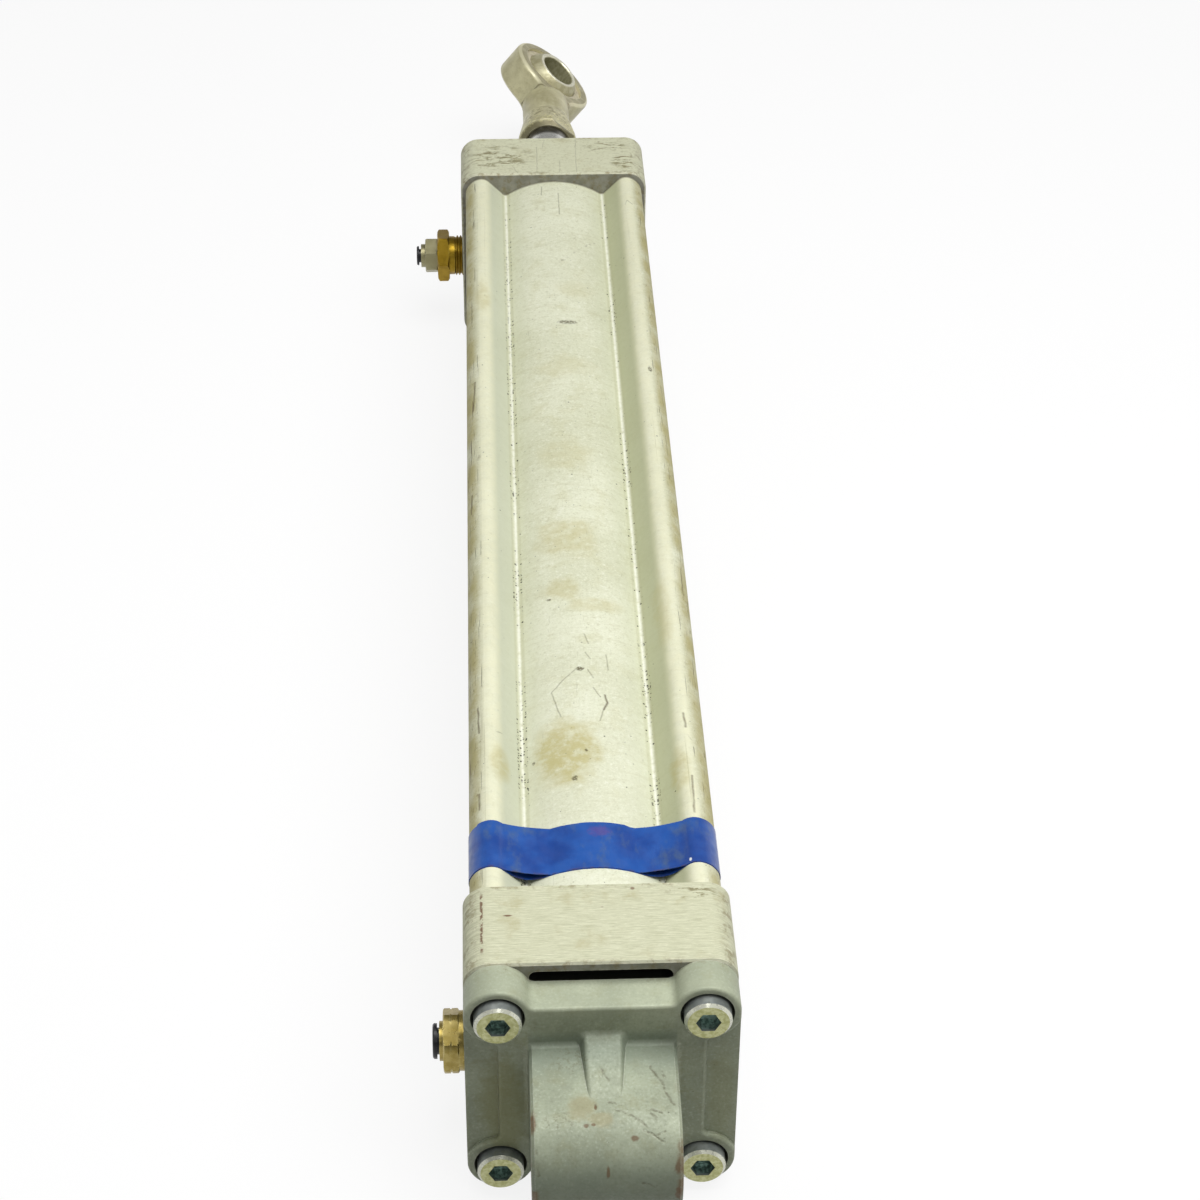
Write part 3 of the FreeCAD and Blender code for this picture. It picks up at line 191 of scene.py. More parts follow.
LUG_CHIPS = [
    ((7.2, -9.1, 13.2), (1.4, 0.9, 1.4)), ((0.1, -14.6, 6.4), (0.6, 2.0, 2.2)),
    ((-5.4, -5.8, 14.9), (0.9, 0.7, 1.2)), ((-3.5, -5.6, 15.0), (0.9, 0.6, 1.2)),
    ((-19.6, -5.0, 15.0), (1.2, 3.6, 3.0)), ((18.6, -14.2, 7.4), (1.3, 2.2, 3.0)),
    ((18.9, -16.0, -1.0), (1.4, 2.0, 3.5)), ((-2.8, -0.6, 16.1), (0.5, 1.0, 1.2))]
LUG_RUBS = [((-12.5, -5.0, 15.2), (6.0, 4.0, 6.0)), ((-9.0, 15.0, 17.4), (8.0, 6.0, 6.0))]

# The floor: its rings by reach and rise in metres, its gap under the part in metres, and its colours
FLOOR_RINGS = [(1.0, 0.0), (4.0, 0.0), (24.0, 0.0), (28.0, 0.6), (29.6, 2.4), (30.0, 8.0)]
FLOOR_GAP = 0.0002
FLOOR_BOUNCE = (0.30, 0.30, 0.27, 1.0)
FLOOR_SHADED = (0.90, 0.90, 0.90, 1.0)
FLOOR_GLOW_SHARE = 0.86
WHITE = (1.0, 1.0, 1.0, 1.0)

# The lights: name, place, aim and size in metres, and power in watts
SKY_STRENGTH = 0.19
LAMPS = [
    ("key", (0.30, 0.10, 1.0), (0.0, 0.20, 0.0), (0.8, 1.1), 13.0),
    ("fill", (-0.7, 0.35, 1.0), (0.0, 0.25, 0.0), (0.5, 1.2), 2.5),
    ("front", (0.04, -0.55, 0.66), (0.0, 0.15, 0.0), (0.14, 0.14), 0.35)]

# The camera as fitted to the photograph: its place, its turns in degrees, and its focal length in pixels
CAMERA_PLACE = (-26.19788, -511.17585, 554.59073)
CAMERA_TURNS = (53.93054, -0.35123, -2.39044)
CAMERA_SENSOR = 36.0
FOCAL_PIXELS = 2759.205
PHOTO_PIXELS = 1200.0


def paint(red, green, blue):
    """A screen colour of 0 to 255 as the linear colour that a shader takes."""
    def linear(value):
        value /= 255.0
        return value / 12.92 if value <= 0.04045 else ((value + 0.055) / 1.055) ** 2.4
    return linear(red), linear(green), linear(blue), 1.0


def add_node(tree, kind, inputs=None, **settings):
    """A new shader node with its settings, and with a value or a link on each input named."""
    node = tree.nodes.new(kind)
    for key, value in settings.items():
        setattr(node, key, value)
    for key, value in (inputs or {}).items():
        if isinstance(value, bpy.types.NodeSocket):
            tree.links.new(value, node.inputs[key])
        else:
            node.inputs[key].default_value = value
    return node


def new_material(name):
    """A material with an empty node tree."""
    material = bpy.data.materials.new(name)
    material.use_nodes = True
    material.node_tree.nodes.clear()
    return material


def stroke_group():
    """A node group: how near a point is to a straight stroke, 1 on its middle line and 0 beside it."""
    tree = bpy.data.node_groups.new("stroke", "ShaderNodeTree")
    for name, kind in (("Point", "Vector"), ("Start", "Vector"), ("End", "Vector"), ("Width", "Float")):
        tree.interface.new_socket(name=name, in_out="INPUT", socket_type="NodeSocket" + kind)
    tree.interface.new_socket(name="Amount", in_out="OUTPUT", socket_type="NodeSocketFloat")
    given = tree.nodes.new("NodeGroupInput").outputs

    def vector(output, operation, inputs):
        return add_node(tree, "ShaderNodeVectorMath", inputs, operation=operation).outputs[output]

    along = vector("Vector", "SUBTRACT", {0: given["End"], 1: given["Start"]})
    out = vector("Vector", "SUBTRACT", {0: given["Point"], 1: given["Start"]})
    done = vector("Value", "DOT_PRODUCT", {0: out, 1: along})
    whole = vector("Value", "DOT_PRODUCT", {0: along, 1: along})
    share = add_node(tree, "ShaderNodeMath", {0: done, 1: whole}, operation="DIVIDE", use_clamp=True)
    reach = vector("Vector", "SCALE", {0: along, "Scale": share.outputs[0]})
    gap = vector("Value", "DISTANCE", {0: out, 1: reach})
    fade = add_node(tree, "ShaderNodeMapRange", {
        "Value": gap, "From Min": 0.0, "From Max": given["Width"], "To Min": 1.0, "To Max": 0.0})
    add_node(tree, "NodeGroupOutput", {"Amount": fade.outputs["Result"]})
    return tree


STROKE = stroke_group()


class Finish:
    """A procedural material, whose colour, roughness and bump follow patterns in the piece's millimetres."""
    speck_softness = 0.06
    blob_core = 0.45
    bend_scale = 0.35
    edge_levels = (0.8, 0.995)

    def __init__(self, name, metallic, specular, **sockets):
        self.material = new_material(name)
        self.tree = self.material.node_tree
        self.shader = self.node("ShaderNodeBsdfPrincipled", {
            "Metallic": metallic, "Specular IOR Level": specular, **sockets})
        self.node("ShaderNodeOutputMaterial", {"Surface": self.shader.outputs[0]})
        coordinates = self.node("ShaderNodeTexCoord")
        self.normal = coordinates.outputs["Normal"]
        self.place = self.vector("SCALE", coordinates.outputs["Object"], Scale=1.0 / MM)
        self.x, self.y, self.z = self.parts(self.place)
        self.beside = self.math("ABSOLUTE", self.x)
        self.height = self.math("ABSOLUTE", self.z)
        self.colour = None

    def node(self, kind, inputs=None, **settings):
        return add_node(self.tree, kind, inputs, **settings)

    def math(self, operation, *values, clamp=False):
        node = self.node("ShaderNodeMath", dict(enumerate(values)), operation=operation, use_clamp=clamp)
        return node.outputs[0]

    def vector(self, operation, *values, **named):
        inputs = {**dict(enumerate(values)), **named}
        return self.node("ShaderNodeVectorMath", inputs, operation=operation).outputs["Vector"]

    def measure(self, operation, *vectors):
        """One number from vectors, such as a length or a dot product."""
        inputs = dict(enumerate(vectors))
        return self.node("ShaderNodeVectorMath", inputs, operation=operation).outputs["Value"]

    def parts(self, vector):
        """A vector's three numbers."""
        return self.node("ShaderNodeSeparateXYZ", {"Vector": vector}).outputs

    def facing(self):
        """How far the surface faces along the cylinder, from -1 to 1."""
        return self.parts(self.normal)[Y]

    def from_screw(self):
        """The way to a place from the axis of the corner screw nearest to it."""
        beside, height = [self.math("SUBTRACT", value, SCREW_REACH) for value in (self.beside, self.height)]
        return self.node("ShaderNodeCombineXYZ", {X: beside, Y: 0.0, Z: height}).outputs[0]

    def stretched(self, x, y, z):
        """The piece's millimetres, scaled apart along each axis."""
        return self.vector("MULTIPLY", self.place, (x, y, z))

    def noise(self, scale, place=None, detail=3.0, roughness=0.55, distortion=0.0):
        return self.node("ShaderNodeTexNoise", {
            "Vector": place or self.place, "Scale": scale, "Detail": detail, "Roughness": roughness,
            "Distortion": distortion}).outputs["Fac"]

    def fade(self, value, low, high, first=0.0, last=1.0):
        """Goes smoothly from first to last while the value goes from low to high."""
        return self.node("ShaderNodeMapRange", {
            "Value": value, "From Min": low, "From Max": high, "To Min": first, "To Max": last},
            interpolation_type="SMOOTHSTEP").outputs["Result"]

    def cloud(self, scale, low, high, first=0.0, last=1.0, **pattern):
        """Noise that fades from first to last between two of its levels."""
        return self.fade(self.noise(scale, **pattern), low, high, first, last)

    def patchy(self, scale, least, most, detail):
        """A value that changes between two limits from place to place."""
        return self.cloud(scale, 0.3, 0.7, least, most, detail=detail)

    def product(self, *values):
        result = values[0]
        for value in values[1:]:
            result = self.math("MULTIPLY", result, value, clamp=True)
        return result

    def either(self, *values):
        result = values[0]
        for value in values[1:]:
            result = self.math("MAXIMUM", result, value)
        return result

    def mix(self, amount, first, second):
        return self.node("ShaderNodeMix", {0: amount, 6: first, 7: second}, data_type="RGBA").outputs[2]

    def shades(self, amount, first, second):
        """A colour between two shades."""
        return self.mix(amount, paint(*first), paint(*second))

    def tint(self, shade, *amounts):
        """Mixes a shade, or another node's colour, into the finish by the product of the amounts."""
        second = paint(*shade) if isinstance(shade, tuple) else shade
        self.colour = self.mix(self.product(*amounts), self.colour, second)

    def dots(self, scale, radius, share):
        """Scattered round specks, in about that share of the cells."""
        cell = self.node("ShaderNodeTexVoronoi", {"Vector": self.place, "Scale": scale})
        pick = self.node("ShaderNodeSeparateColor", {"Color": cell.outputs["Color"]})
        size = self.fade(pick.outputs[0], 0.0, share, radius, 0.0)
        out = self.math("SUBTRACT", cell.outputs["Distance"], size)
        return self.fade(out, -self.speck_softness, 0.0, 1.0, 0.0)

    def blob(self, centre, radii, ragged, grain=0.35):
        """A soft patch round a place, with a ragged outline."""
        offset = self.vector("DIVIDE", self.vector("SUBTRACT", self.place, centre), radii)
        length = self.measure("LENGTH", offset)
        wobble = self.math("MULTIPLY_ADD", self.noise(grain), ragged * 2.0, -ragged)
        return self.fade(self.math("ADD", length, wobble), self.blob_core, 1.0, 1.0, 0.0)

    def blobs(self, patches, ragged, grain=0.35):
        """Several such patches, each with its centre and radii."""
        total = None
        for centre, radii in patches:
            patch = self.blob(centre, radii, ragged, grain)
            total = self.either(total, patch) if total else patch
        return total

    def band(self, value, middle, half, soft):
        """1 where a value is within half of the middle, fading out over soft."""
        gap = self.math("ABSOLUTE", self.math("SUBTRACT", value, middle))
        return self.fade(gap, half, half + soft, 1.0, 0.0)

    def strokes(self, lines, width, jitter):
        """Thin crooked scratches, each through its corners in turn."""
        bend = self.node("ShaderNodeTexNoise", {
            "Vector": self.place, "Scale": self.bend_scale, "Detail": 2.0})
        shift = self.vector("SUBTRACT", bend.outputs["Color"], (0.5, 0.5, 0.5))
        point = self.vector("ADD", self.place, self.vector("SCALE", shift, Scale=2.0 * jitter))
        total = None
        for start, end in [pair for line in lines for pair in zip(line, line[1:])]:
            group = self.node("ShaderNodeGroup", {
                "Point": point, "Start": start, "End": end, "Width": width}, node_tree=STROKE)
            amount = group.outputs["Amount"]
            total = self.either(total, amount) if total else amount
        return total

    def edges(self, radius):
        """1 along sharp outer and inner edges, 0 on the open faces."""
        bent = self.node("ShaderNodeBevel", {"Radius": radius * MM}, samples=4)
        flat = self.node("ShaderNodeNewGeometry").outputs["Normal"]
        return self.fade(self.measure("DOT_PRODUCT", bent.outputs[0], flat), *self.edge_levels, 1.0, 0.0)

    def bump(self, height, depth, below=None):
        """Adds relief of that depth in millimetres, over the relief below."""
        inputs = {"Height": height, "Distance": depth * MM, "Strength": 1.0}
        if below:
            inputs["Normal"] = below
        return self.node("ShaderNodeBump", inputs).outputs["Normal"]

    def sunk(self, marks, depth, below):
        """Presses marks into the relief below."""
        return self.bump(self.math("SUBTRACT", 1.0, marks), depth, below)

    def dress(self, roughness, normal, *pieces):
        """Wires the finish up and gives it to those CAD nodes, by name, or to those pieces."""
        for key, value in (("Base Color", self.colour), ("Roughness", roughness), ("Normal", normal)):
            self.tree.links.new(value, self.shader.inputs[key])
        for piece in pieces:
            mesh = (nodes[piece] if isinstance(piece, str) else piece).data
            mesh.materials.clear()
            mesh.materials.append(self.material)


def tube_finish():
    """Matte anodised aluminium with oily stains, black pits in the hollows and scratches along the lobes."""
    it = Finish("anodised_tube", metallic=0.2, specular=0.3)
    grain = it.noise(1.6, detail=3.0)
    tube_ground(it, grain)
    tube_lobes(it)
    tube_stains(it, grain)
    pits = tube_hollows(it)
    gouges = tube_scratches(it)
    seams = it.either(it.band(it.y, TUBE_START, 0.2, 1.2), it.band(it.y, TUBE_END, 0.2, 1.2))
    it.tint((88, 82, 62), seams, 0.65)
    drawn = it.noise(1.0, it.stretched(3.0, 0.03, 3.0), detail=2.0)
    relief = it.bump(drawn, 0.010)
    relief = it.bump(grain, 0.014, relief)
    relief = it.sunk(it.either(pits, gouges), 0.05, relief)
    it.dress(it.patchy(0.3, 0.56, 0.7, detail=5.0), relief, "barrel_profile")


def tube_ground(it, grain):
    """The tube's pale ground: cloudy, grained, wiped and rubbed, with painted light on the crown towards the rear.
    """
    it.colour = it.shades(it.cloud(0.025, 0.35, 0.65, detail=4.0), (209, 211, 184), (222, 224, 200))
    it.tint((200, 199, 162), it.cloud(0.14, 0.5, 0.75, detail=5.0), 0.5)
    it.tint((180, 181, 150), it.fade(grain, 0.52, 0.75), 0.32)
    it.tint((235, 236, 216), it.fade(grain, 0.48, 0.3), 0.45)
    mottle = it.noise(0.62, detail=5.0, roughness=0.72)
    it.tint((178, 176, 140), it.fade(mottle, 0.53, 0.68), 0.42)
    it.tint((240, 241, 228), it.fade(mottle, 0.46, 0.32), 0.45)
    crown = it.fade(it.beside, CROWN_END - 0.4, CROWN_END, 1.0, 0.0)
    it.tint((196, 199, 172), crown, it.fade(it.beside, CROWN_END - 10.0, CROWN_END - 2.0), 0.4)
    wipes = it.noise(1.0, it.stretched(0.06, 0.45, 0.06), detail=6.0, roughness=0.7)
    it.tint((186, 184, 146), it.fade(wipes, 0.52, 0.7), 0.3)
    hairs = it.noise(1.0, it.stretched(1.1, 0.16, 1.1), detail=4.0, roughness=0.7, distortion=1.2)
    it.tint((150, 148, 116), it.fade(hairs, 0.63, 0.69), 0.3)
    rubbed = it.noise(1.0, it.stretched(0.5, 1.5, 0.5), detail=6.0, roughness=0.72, distortion=0.6)
    worn = it.cloud(0.07, 0.42, 0.62)
    it.tint((172, 166, 124), it.fade(rubbed, 0.56, 0.66), worn, 0.42)
    it.tint((146, 138, 100), it.dots(0.8, 0.17, 0.45), 0.4)
    # Painted light: the crown painted lighter towards the rear end, as the light falls off towards the front.
    painted_light_to_rear = it.fade(it.y, 260.0, 100.0)
    it.tint((238, 240, 224), crown, painted_light_to_rear, 0.15)


def tube_lobes(it):
    """The lobes: painted light and shade on the flanks, a painted highlight on the crests, and brown wear with
    long marks down their outer sides.
    """
    flank = it.product(it.band(it.beside, LOBE_FLANK, 2.6, 1.4), it.fade(it.z, 20.0, 26.0))
    # Painted light and shade: flanks on the right half painted darker and olive, on the left half lighter and
    # grey, as light falls from the right.
    it.tint((186, 190, 152), flank, it.fade(it.x, 0.0, 1.0), 0.8)
    it.tint((199, 203, 180), flank, it.fade(it.x, 0.0, -1.0), 0.8)
    # Painted highlight: a pale band along the crests of the top lobes.
    crest_highlight = it.product(it.band(it.beside, LOBE_CREST, 1.8, 2.2), it.fade(it.z, 30.0, 34.0))
    it.tint((227, 226, 196), crest_highlight, it.patchy(0.3, 0.45, 0.75, detail=5.0))
    corners = it.fade(it.height, 17.0, 22.0, 0.3, 1.0)
    outer = it.product(it.fade(it.beside, LOBE_CREST + 2.0, LOBE_CREST + 5.4), corners)
    it.tint((174, 165, 108), outer, it.cloud(0.06, 0.25, 0.62, detail=4.0), 0.85)
    streaks = it.noise(1.0, it.stretched(0.9, 0.012, 0.9), detail=4.0)
    it.tint((160, 154, 118), it.fade(streaks, 0.62, 0.74), it.fade(it.beside, 26.0, 30.0), 0.4)
    long_marks = it.noise(1.0, it.stretched(1.9, 0.045, 1.9), detail=2.0)
    it.tint((84, 70, 48), it.fade(it.beside, 30.5, 32.0), it.fade(long_marks, 0.655, 0.68), corners, 0.8)
    scrapes = it.noise(1.0, it.stretched(1.3, 0.3, 1.3), detail=5.0, roughness=0.7)
    it.tint((122, 108, 70), it.fade(scrapes, 0.58, 0.66), outer, 0.5)
    mould = it.noise(0.24, it.stretched(1.0, 0.6, 1.0), detail=6.0, roughness=0.7)
    it.tint((112, 98, 62), it.fade(it.beside, 28.5, 33.5), it.fade(mould, 0.61, 0.7), 0.6)


def tube_stains(it, grain):
    """Washed-out oil stains, and a few dark smudges."""
    wash = it.cloud(0.32, 0.3, 0.6, 0.35, 1.0, detail=6.0, roughness=0.65)
    for centre, radii, strength in TUBE_STAINS:
        it.tint((184, 174, 112), it.blob(centre, radii, 0.45, 0.12), wash, strength)
    it.tint((84, 76, 48), it.blobs(TUBE_SMUDGES, 0.4, 0.9), it.fade(grain, 0.36, 0.56, 0.2, 0.85))


def tube_hollows(it):
    """A painted highlight in the hollows beside the lobes, with black pits along their brinks. Gives the pits."""
    above_and_below = it.product(it.band(it.beside, HOLLOW, 0.3, 0.5), it.fade(it.height, 24.0, 26.0))
    at_the_sides = it.product(it.band(it.height, HOLLOW, 0.3, 0.5), it.fade(it.beside, 24.0, 26.0))
    hollow_highlight = it.either(above_and_below, at_the_sides)
    # Painted highlight: the bottoms of the hollows painted near-white.
    it.tint((243, 244, 234), hollow_highlight, it.cloud(0.5, 0.25, 0.55, detail=4.0), 0.55)
    brinks = it.either(it.band(it.beside, HOLLOW - 1.0, 0.4, 0.5), it.band(it.beside, HOLLOW + 0.8, 0.4, 0.5),
                       it.band(it.height, HOLLOW - 0.9, 0.4, 0.5))
    it.tint((178, 178, 142), brinks, 0.3)
    dense = it.cloud(0.03, 0.44, 0.58, detail=2.0)
    pits = it.either(it.product(it.dots(1.15, 0.44, 0.9), dense), it.dots(0.55, 0.24, 0.8))
    pits = it.product(pits, brinks)
    specks = it.either(it.product(it.dots(0.2, 0.085, 0.9), 0.85), it.product(it.dots(0.45, 0.12, 0.6), 0.65))
    it.tint((40, 39, 30), it.either(pits, specks))
    return pits


def tube_scratches(it):
    """Fine scratches, a broken trail, and deeper gouges. Gives the gouges."""
    it.tint((122, 117, 88), it.strokes(TUBE_SCRATCHES, 0.36, 0.3), 0.6)
    it.tint((120, 112, 80), it.strokes(TUBE_TRAIL, 0.9, 0.6), it.cloud(0.7, 0.46, 0.56), 0.6)
    gouges = it.strokes(TUBE_GOUGES, 0.55, 0.3)
    it.tint((88, 72, 48), gouges, 0.85)
    return gouges


def cap_finish():
    """Die-cast caps: sides milled in fine lines across the tube, smoother grey ends that are also painted darker
    as shade, worn spotted edges.
    """
    it = Finish("cast_cap", metallic=0.2, specular=0.3)
    end = it.fade(it.math("ABSOLUTE", it.facing()), 0.6, 0.9)
    lines = it.noise(1.0, it.stretched(0.16, 4.2, 0.16), detail=5.0, roughness=0.7)
    fine = it.noise(1.0, it.stretched(0.6, 6.5, 0.6), detail=3.0)
    it.colour = it.shades(it.fade(lines, 0.36, 0.62), (184, 185, 154), (212, 213, 186))
    it.tint((164, 163, 132), it.fade(fine, 0.55, 0.75), 0.5)
    it.tint((238, 236, 219), it.fade(fine, 0.42, 0.28), 0.5)
    front_one = it.fade(it.y, TUBE_START, TUBE_END)
    grain = it.noise(0.9, detail=5.0, roughness=0.65)
    it.tint((216, 217, 190), front_one, 0.4)
    it.tint((170, 167, 130), front_one, it.fade(grain, 0.52, 0.66), 0.45)
    # The ends' own grey, painted darker as shade.
    cast = it.shades(it.cloud(0.3, 0.35, 0.65, detail=4.0), (132, 131, 120), (149, 148, 139))
    it.tint(cast, end)
    it.tint((178, 172, 132), it.cloud(0.11, 0.54, 0.72, detail=5.0, roughness=0.65), 0.5)
    cap_marks(it, grain)
    cap_pockets(it)
    cap_rust(it)
    it.tint((236, 233, 216), it.edges(0.5), it.cloud(0.6, 0.3, 0.6), 0.6)
    milled = it.math("ADD", lines, it.math("MULTIPLY", fine, 0.5))
    relief = it.bump(it.math("MULTIPLY", milled, it.math("SUBTRACT", 1.0, end)), 0.035)
    relief = it.bump(it.noise(1.4), 0.018, relief)
    it.dress(it.fade(lines, 0.3, 0.7, 0.52, 0.68), relief, "front_cap", "rear_cap")


def cap_marks(it, grain):
    """Grime along the caps' borders, with scuffs, bruises and fine cracks on top."""
    corners = it.product(it.fade(it.beside, CAP_TOP - 6.0, CAP_TOP - 2.0),
                         it.fade(it.height, CAP_TOP - 8.5, CAP_TOP - 4.5))
    border = it.either(it.band(it.y, TUBE_START, 0.4, 3.0), it.band(it.y, TUBE_END, 0.4, 2.5),
                       it.band(it.y, FRONT_FACE, 0.4, 3.0), it.band(it.y, REAR_FACE, 0.3, 2.0), corners)
    it.tint((124, 108, 70), border, it.cloud(0.33, 0.48, 0.66, detail=6.0, roughness=0.7), 0.6)
    scuffs = it.noise(1.0, it.stretched(0.2, 0.75, 0.2), detail=4.0, roughness=0.65)
    it.tint((120, 112, 72), it.fade(scuffs, 0.5, 0.58), it.blobs(CAP_SCUFFS, 0.2), 0.8)
    it.tint((112, 98, 60), it.strokes(CAP_BRUISES, 0.75, 1.1), it.fade(grain, 0.36, 0.56), 0.7)
    it.tint((104, 98, 70), it.strokes(CAP_CRACKS, 0.3, 0.5), 0.42)


def cap_pockets(it):
    """Painted shade: the insides of the caps' cored pockets painted near-black."""
    deep = it.either(it.band(it.y, REAR_FACE + POCKET_MIDDLE, POCKET_HALF_DEPTH, 0.1),
                     it.band(it.y, FRONT_FACE - POCKET_MIDDLE, POCKET_HALF_DEPTH, 0.1))
    high = it.band(it.height, POCKET_HEIGHT, POCKET_HALF_HEIGHT, 0.06)
    wide = it.fade(it.beside, POCKET_HALF_WIDTH + 0.1, POCKET_HALF_WIDTH - 0.1)
    # Painted shade inside the pockets.
    it.tint((22, 24, 24), high, wide, deep, 0.92)


def cap_rust(it):
    """A broken rusty line along the rear cap's left edge, a spot beside it, and scattered specks."""
    line = it.product(it.band(it.x, RUST_X, 0.12, 0.5), it.band(it.y, RUST_Y, 10.0, 3.0))
    gaps = it.noise(0.9, it.stretched(1.0, 0.7, 1.0), detail=4.0)
    line = it.product(line, it.fade(it.z, CAP_TOP - 5.5, CAP_TOP - 2.5), it.fade(gaps, 0.44, 0.56))
    rust = it.either(line, it.product(it.dots(0.11, 0.1, 0.7), 0.8), it.blob(*RUST_SPOT, 0.3, 1.0))
    it.tint((104, 58, 34), rust, 0.85)


def flange_finish():
    """Sand-grained grey die casting, scratched on the lug, with brown stains along the lug's side edges, painted
    shade on the lug and in the counterbores, and painted light on top.
    """
    it = Finish("cast_flange", metallic=0.10, specular=0.4)
    grain = it.noise(1.3, detail=4.0, roughness=0.6)
    it.colour = it.shades(it.cloud(0.05, 0.35, 0.65, detail=4.0), (149, 156, 134), (168, 175, 151))
    it.tint((134, 140, 116), it.fade(grain, 0.52, 0.72), 0.45)
    it.tint((198, 205, 184), it.fade(grain, 0.46, 0.3), 0.32)
    it.tint((138, 138, 104), it.cloud(0.16, 0.5, 0.72, detail=6.0, roughness=0.65), 0.45)
    left_shelf = it.blob((-27.0, 21.0, -6.0), (9.0, 7.0, 24.0), 0.3, 0.1)
    right_shelf = it.blob((33.0, 22.0, -4.0), (5.0, 6.0, 24.0), 0.3, 0.1)
    it.tint((134, 134, 84), it.either(left_shelf, it.product(right_shelf, 0.5)), 0.6)
    lug = it.fade(it.beside, LUG_HALF + 0.4, LUG_HALF - 0.1)
    # Dirt and painted shade: the lug painted darker and bluer where it meets the plate.
    root_dirt_and_shade = it.product(lug, it.fade(it.y, 7.0, 17.0), it.fade(it.z, 24.0, 20.0))
    it.tint((122, 134, 120), root_dirt_and_shade, 0.55)
    # Painted shade: the lower front of the lug painted darker.
    lug_low_shade = it.product(lug, it.fade(it.y, 2.0, -6.0), it.fade(it.z, 13.5, 4.0))
    it.tint((106, 117, 103), lug_low_shade, 0.6)
    it.tint((128, 134, 114), lug, it.cloud(0.22, 0.48, 0.66, detail=5.0, roughness=0.65), 0.3)
    # Painted light: the flange's upper part painted lighter, where it faces up to the light.
    it.tint((202, 208, 180), it.fade(it.z, 26.0, 32.0), 0.26)
    pits = it.product(it.cloud(0.9, 0.64, 0.7, detail=6.0, roughness=0.72), it.cloud(0.12, 0.42, 0.6))
    it.tint((90, 86, 66), pits, 0.65)
    scratches = lug_marks(it)
    border = it.fade(it.y, REAR_FACE - 5.0, REAR_FACE - 0.2)
    it.tint((118, 104, 72), border, it.cloud(0.4, 0.5, 0.62, detail=5.0, roughness=0.7), 0.25)
    it.tint((226, 226, 214), it.edges(0.45), it.cloud(0.5, 0.3, 0.62), 0.55)
    # Painted shade: the counterbores behind the screw heads painted near-black.
    counterbore_shade = it.fade(it.measure("LENGTH", it.from_screw()), 8.0, 7.0)
    it.tint((44, 46, 44), counterbore_shade, it.fade(it.y, SCREW_FACE + 3.7, SCREW_FACE + 5.0), 0.75)
    relief = it.bump(grain, 0.045)
    relief = it.bump(it.noise(0.3, detail=2.0), 0.08, relief)
    relief = it.sunk(it.product(it.either(scratches, pits), lug), 0.07, relief)
    it.dress(it.fade(grain, 0.3, 0.7, 0.42, 0.6), relief, "rear_swivel_flange")


def lug_marks(it):
    """Brown side edges, tan and rubbed patches, scratches and chips on the lug. Gives the scratches."""
    side = it.product(it.band(it.beside, LUG_HALF - 0.4, 0.5, 1.3), it.fade(it.y, 8.0, 2.0))
    it.tint((112, 84, 50), side, it.cloud(0.14, 0.46, 0.6, detail=5.0), 0.75)
    tan = it.either(it.blob((-6.2, -0.3, 16.0), (5.0, 5.5, 6.0), 0.4),
                    it.blob((-1.5, -4.0, 15.4), (5.0, 3.0, 6.0), 0.5))
    it.tint((148, 138, 96), tan, 0.5)
    rubbed = it.cloud(0.8, 0.52, 0.6, detail=5.0, roughness=0.7)
    it.tint((116, 116, 92), it.blobs(LUG_RUBS, 0.3), rubbed, 0.6)
    scratches = it.strokes(LUG_SCRATCHES, 0.55, 0.9)
    it.tint((98, 94, 72), scratches, it.cloud(0.9, 0.34, 0.54, detail=4.0), 0.85)
    it.tint((104, 76, 46), it.blobs(LUG_CHIPS, 0.4, 0.7), 0.75)
    return scratches


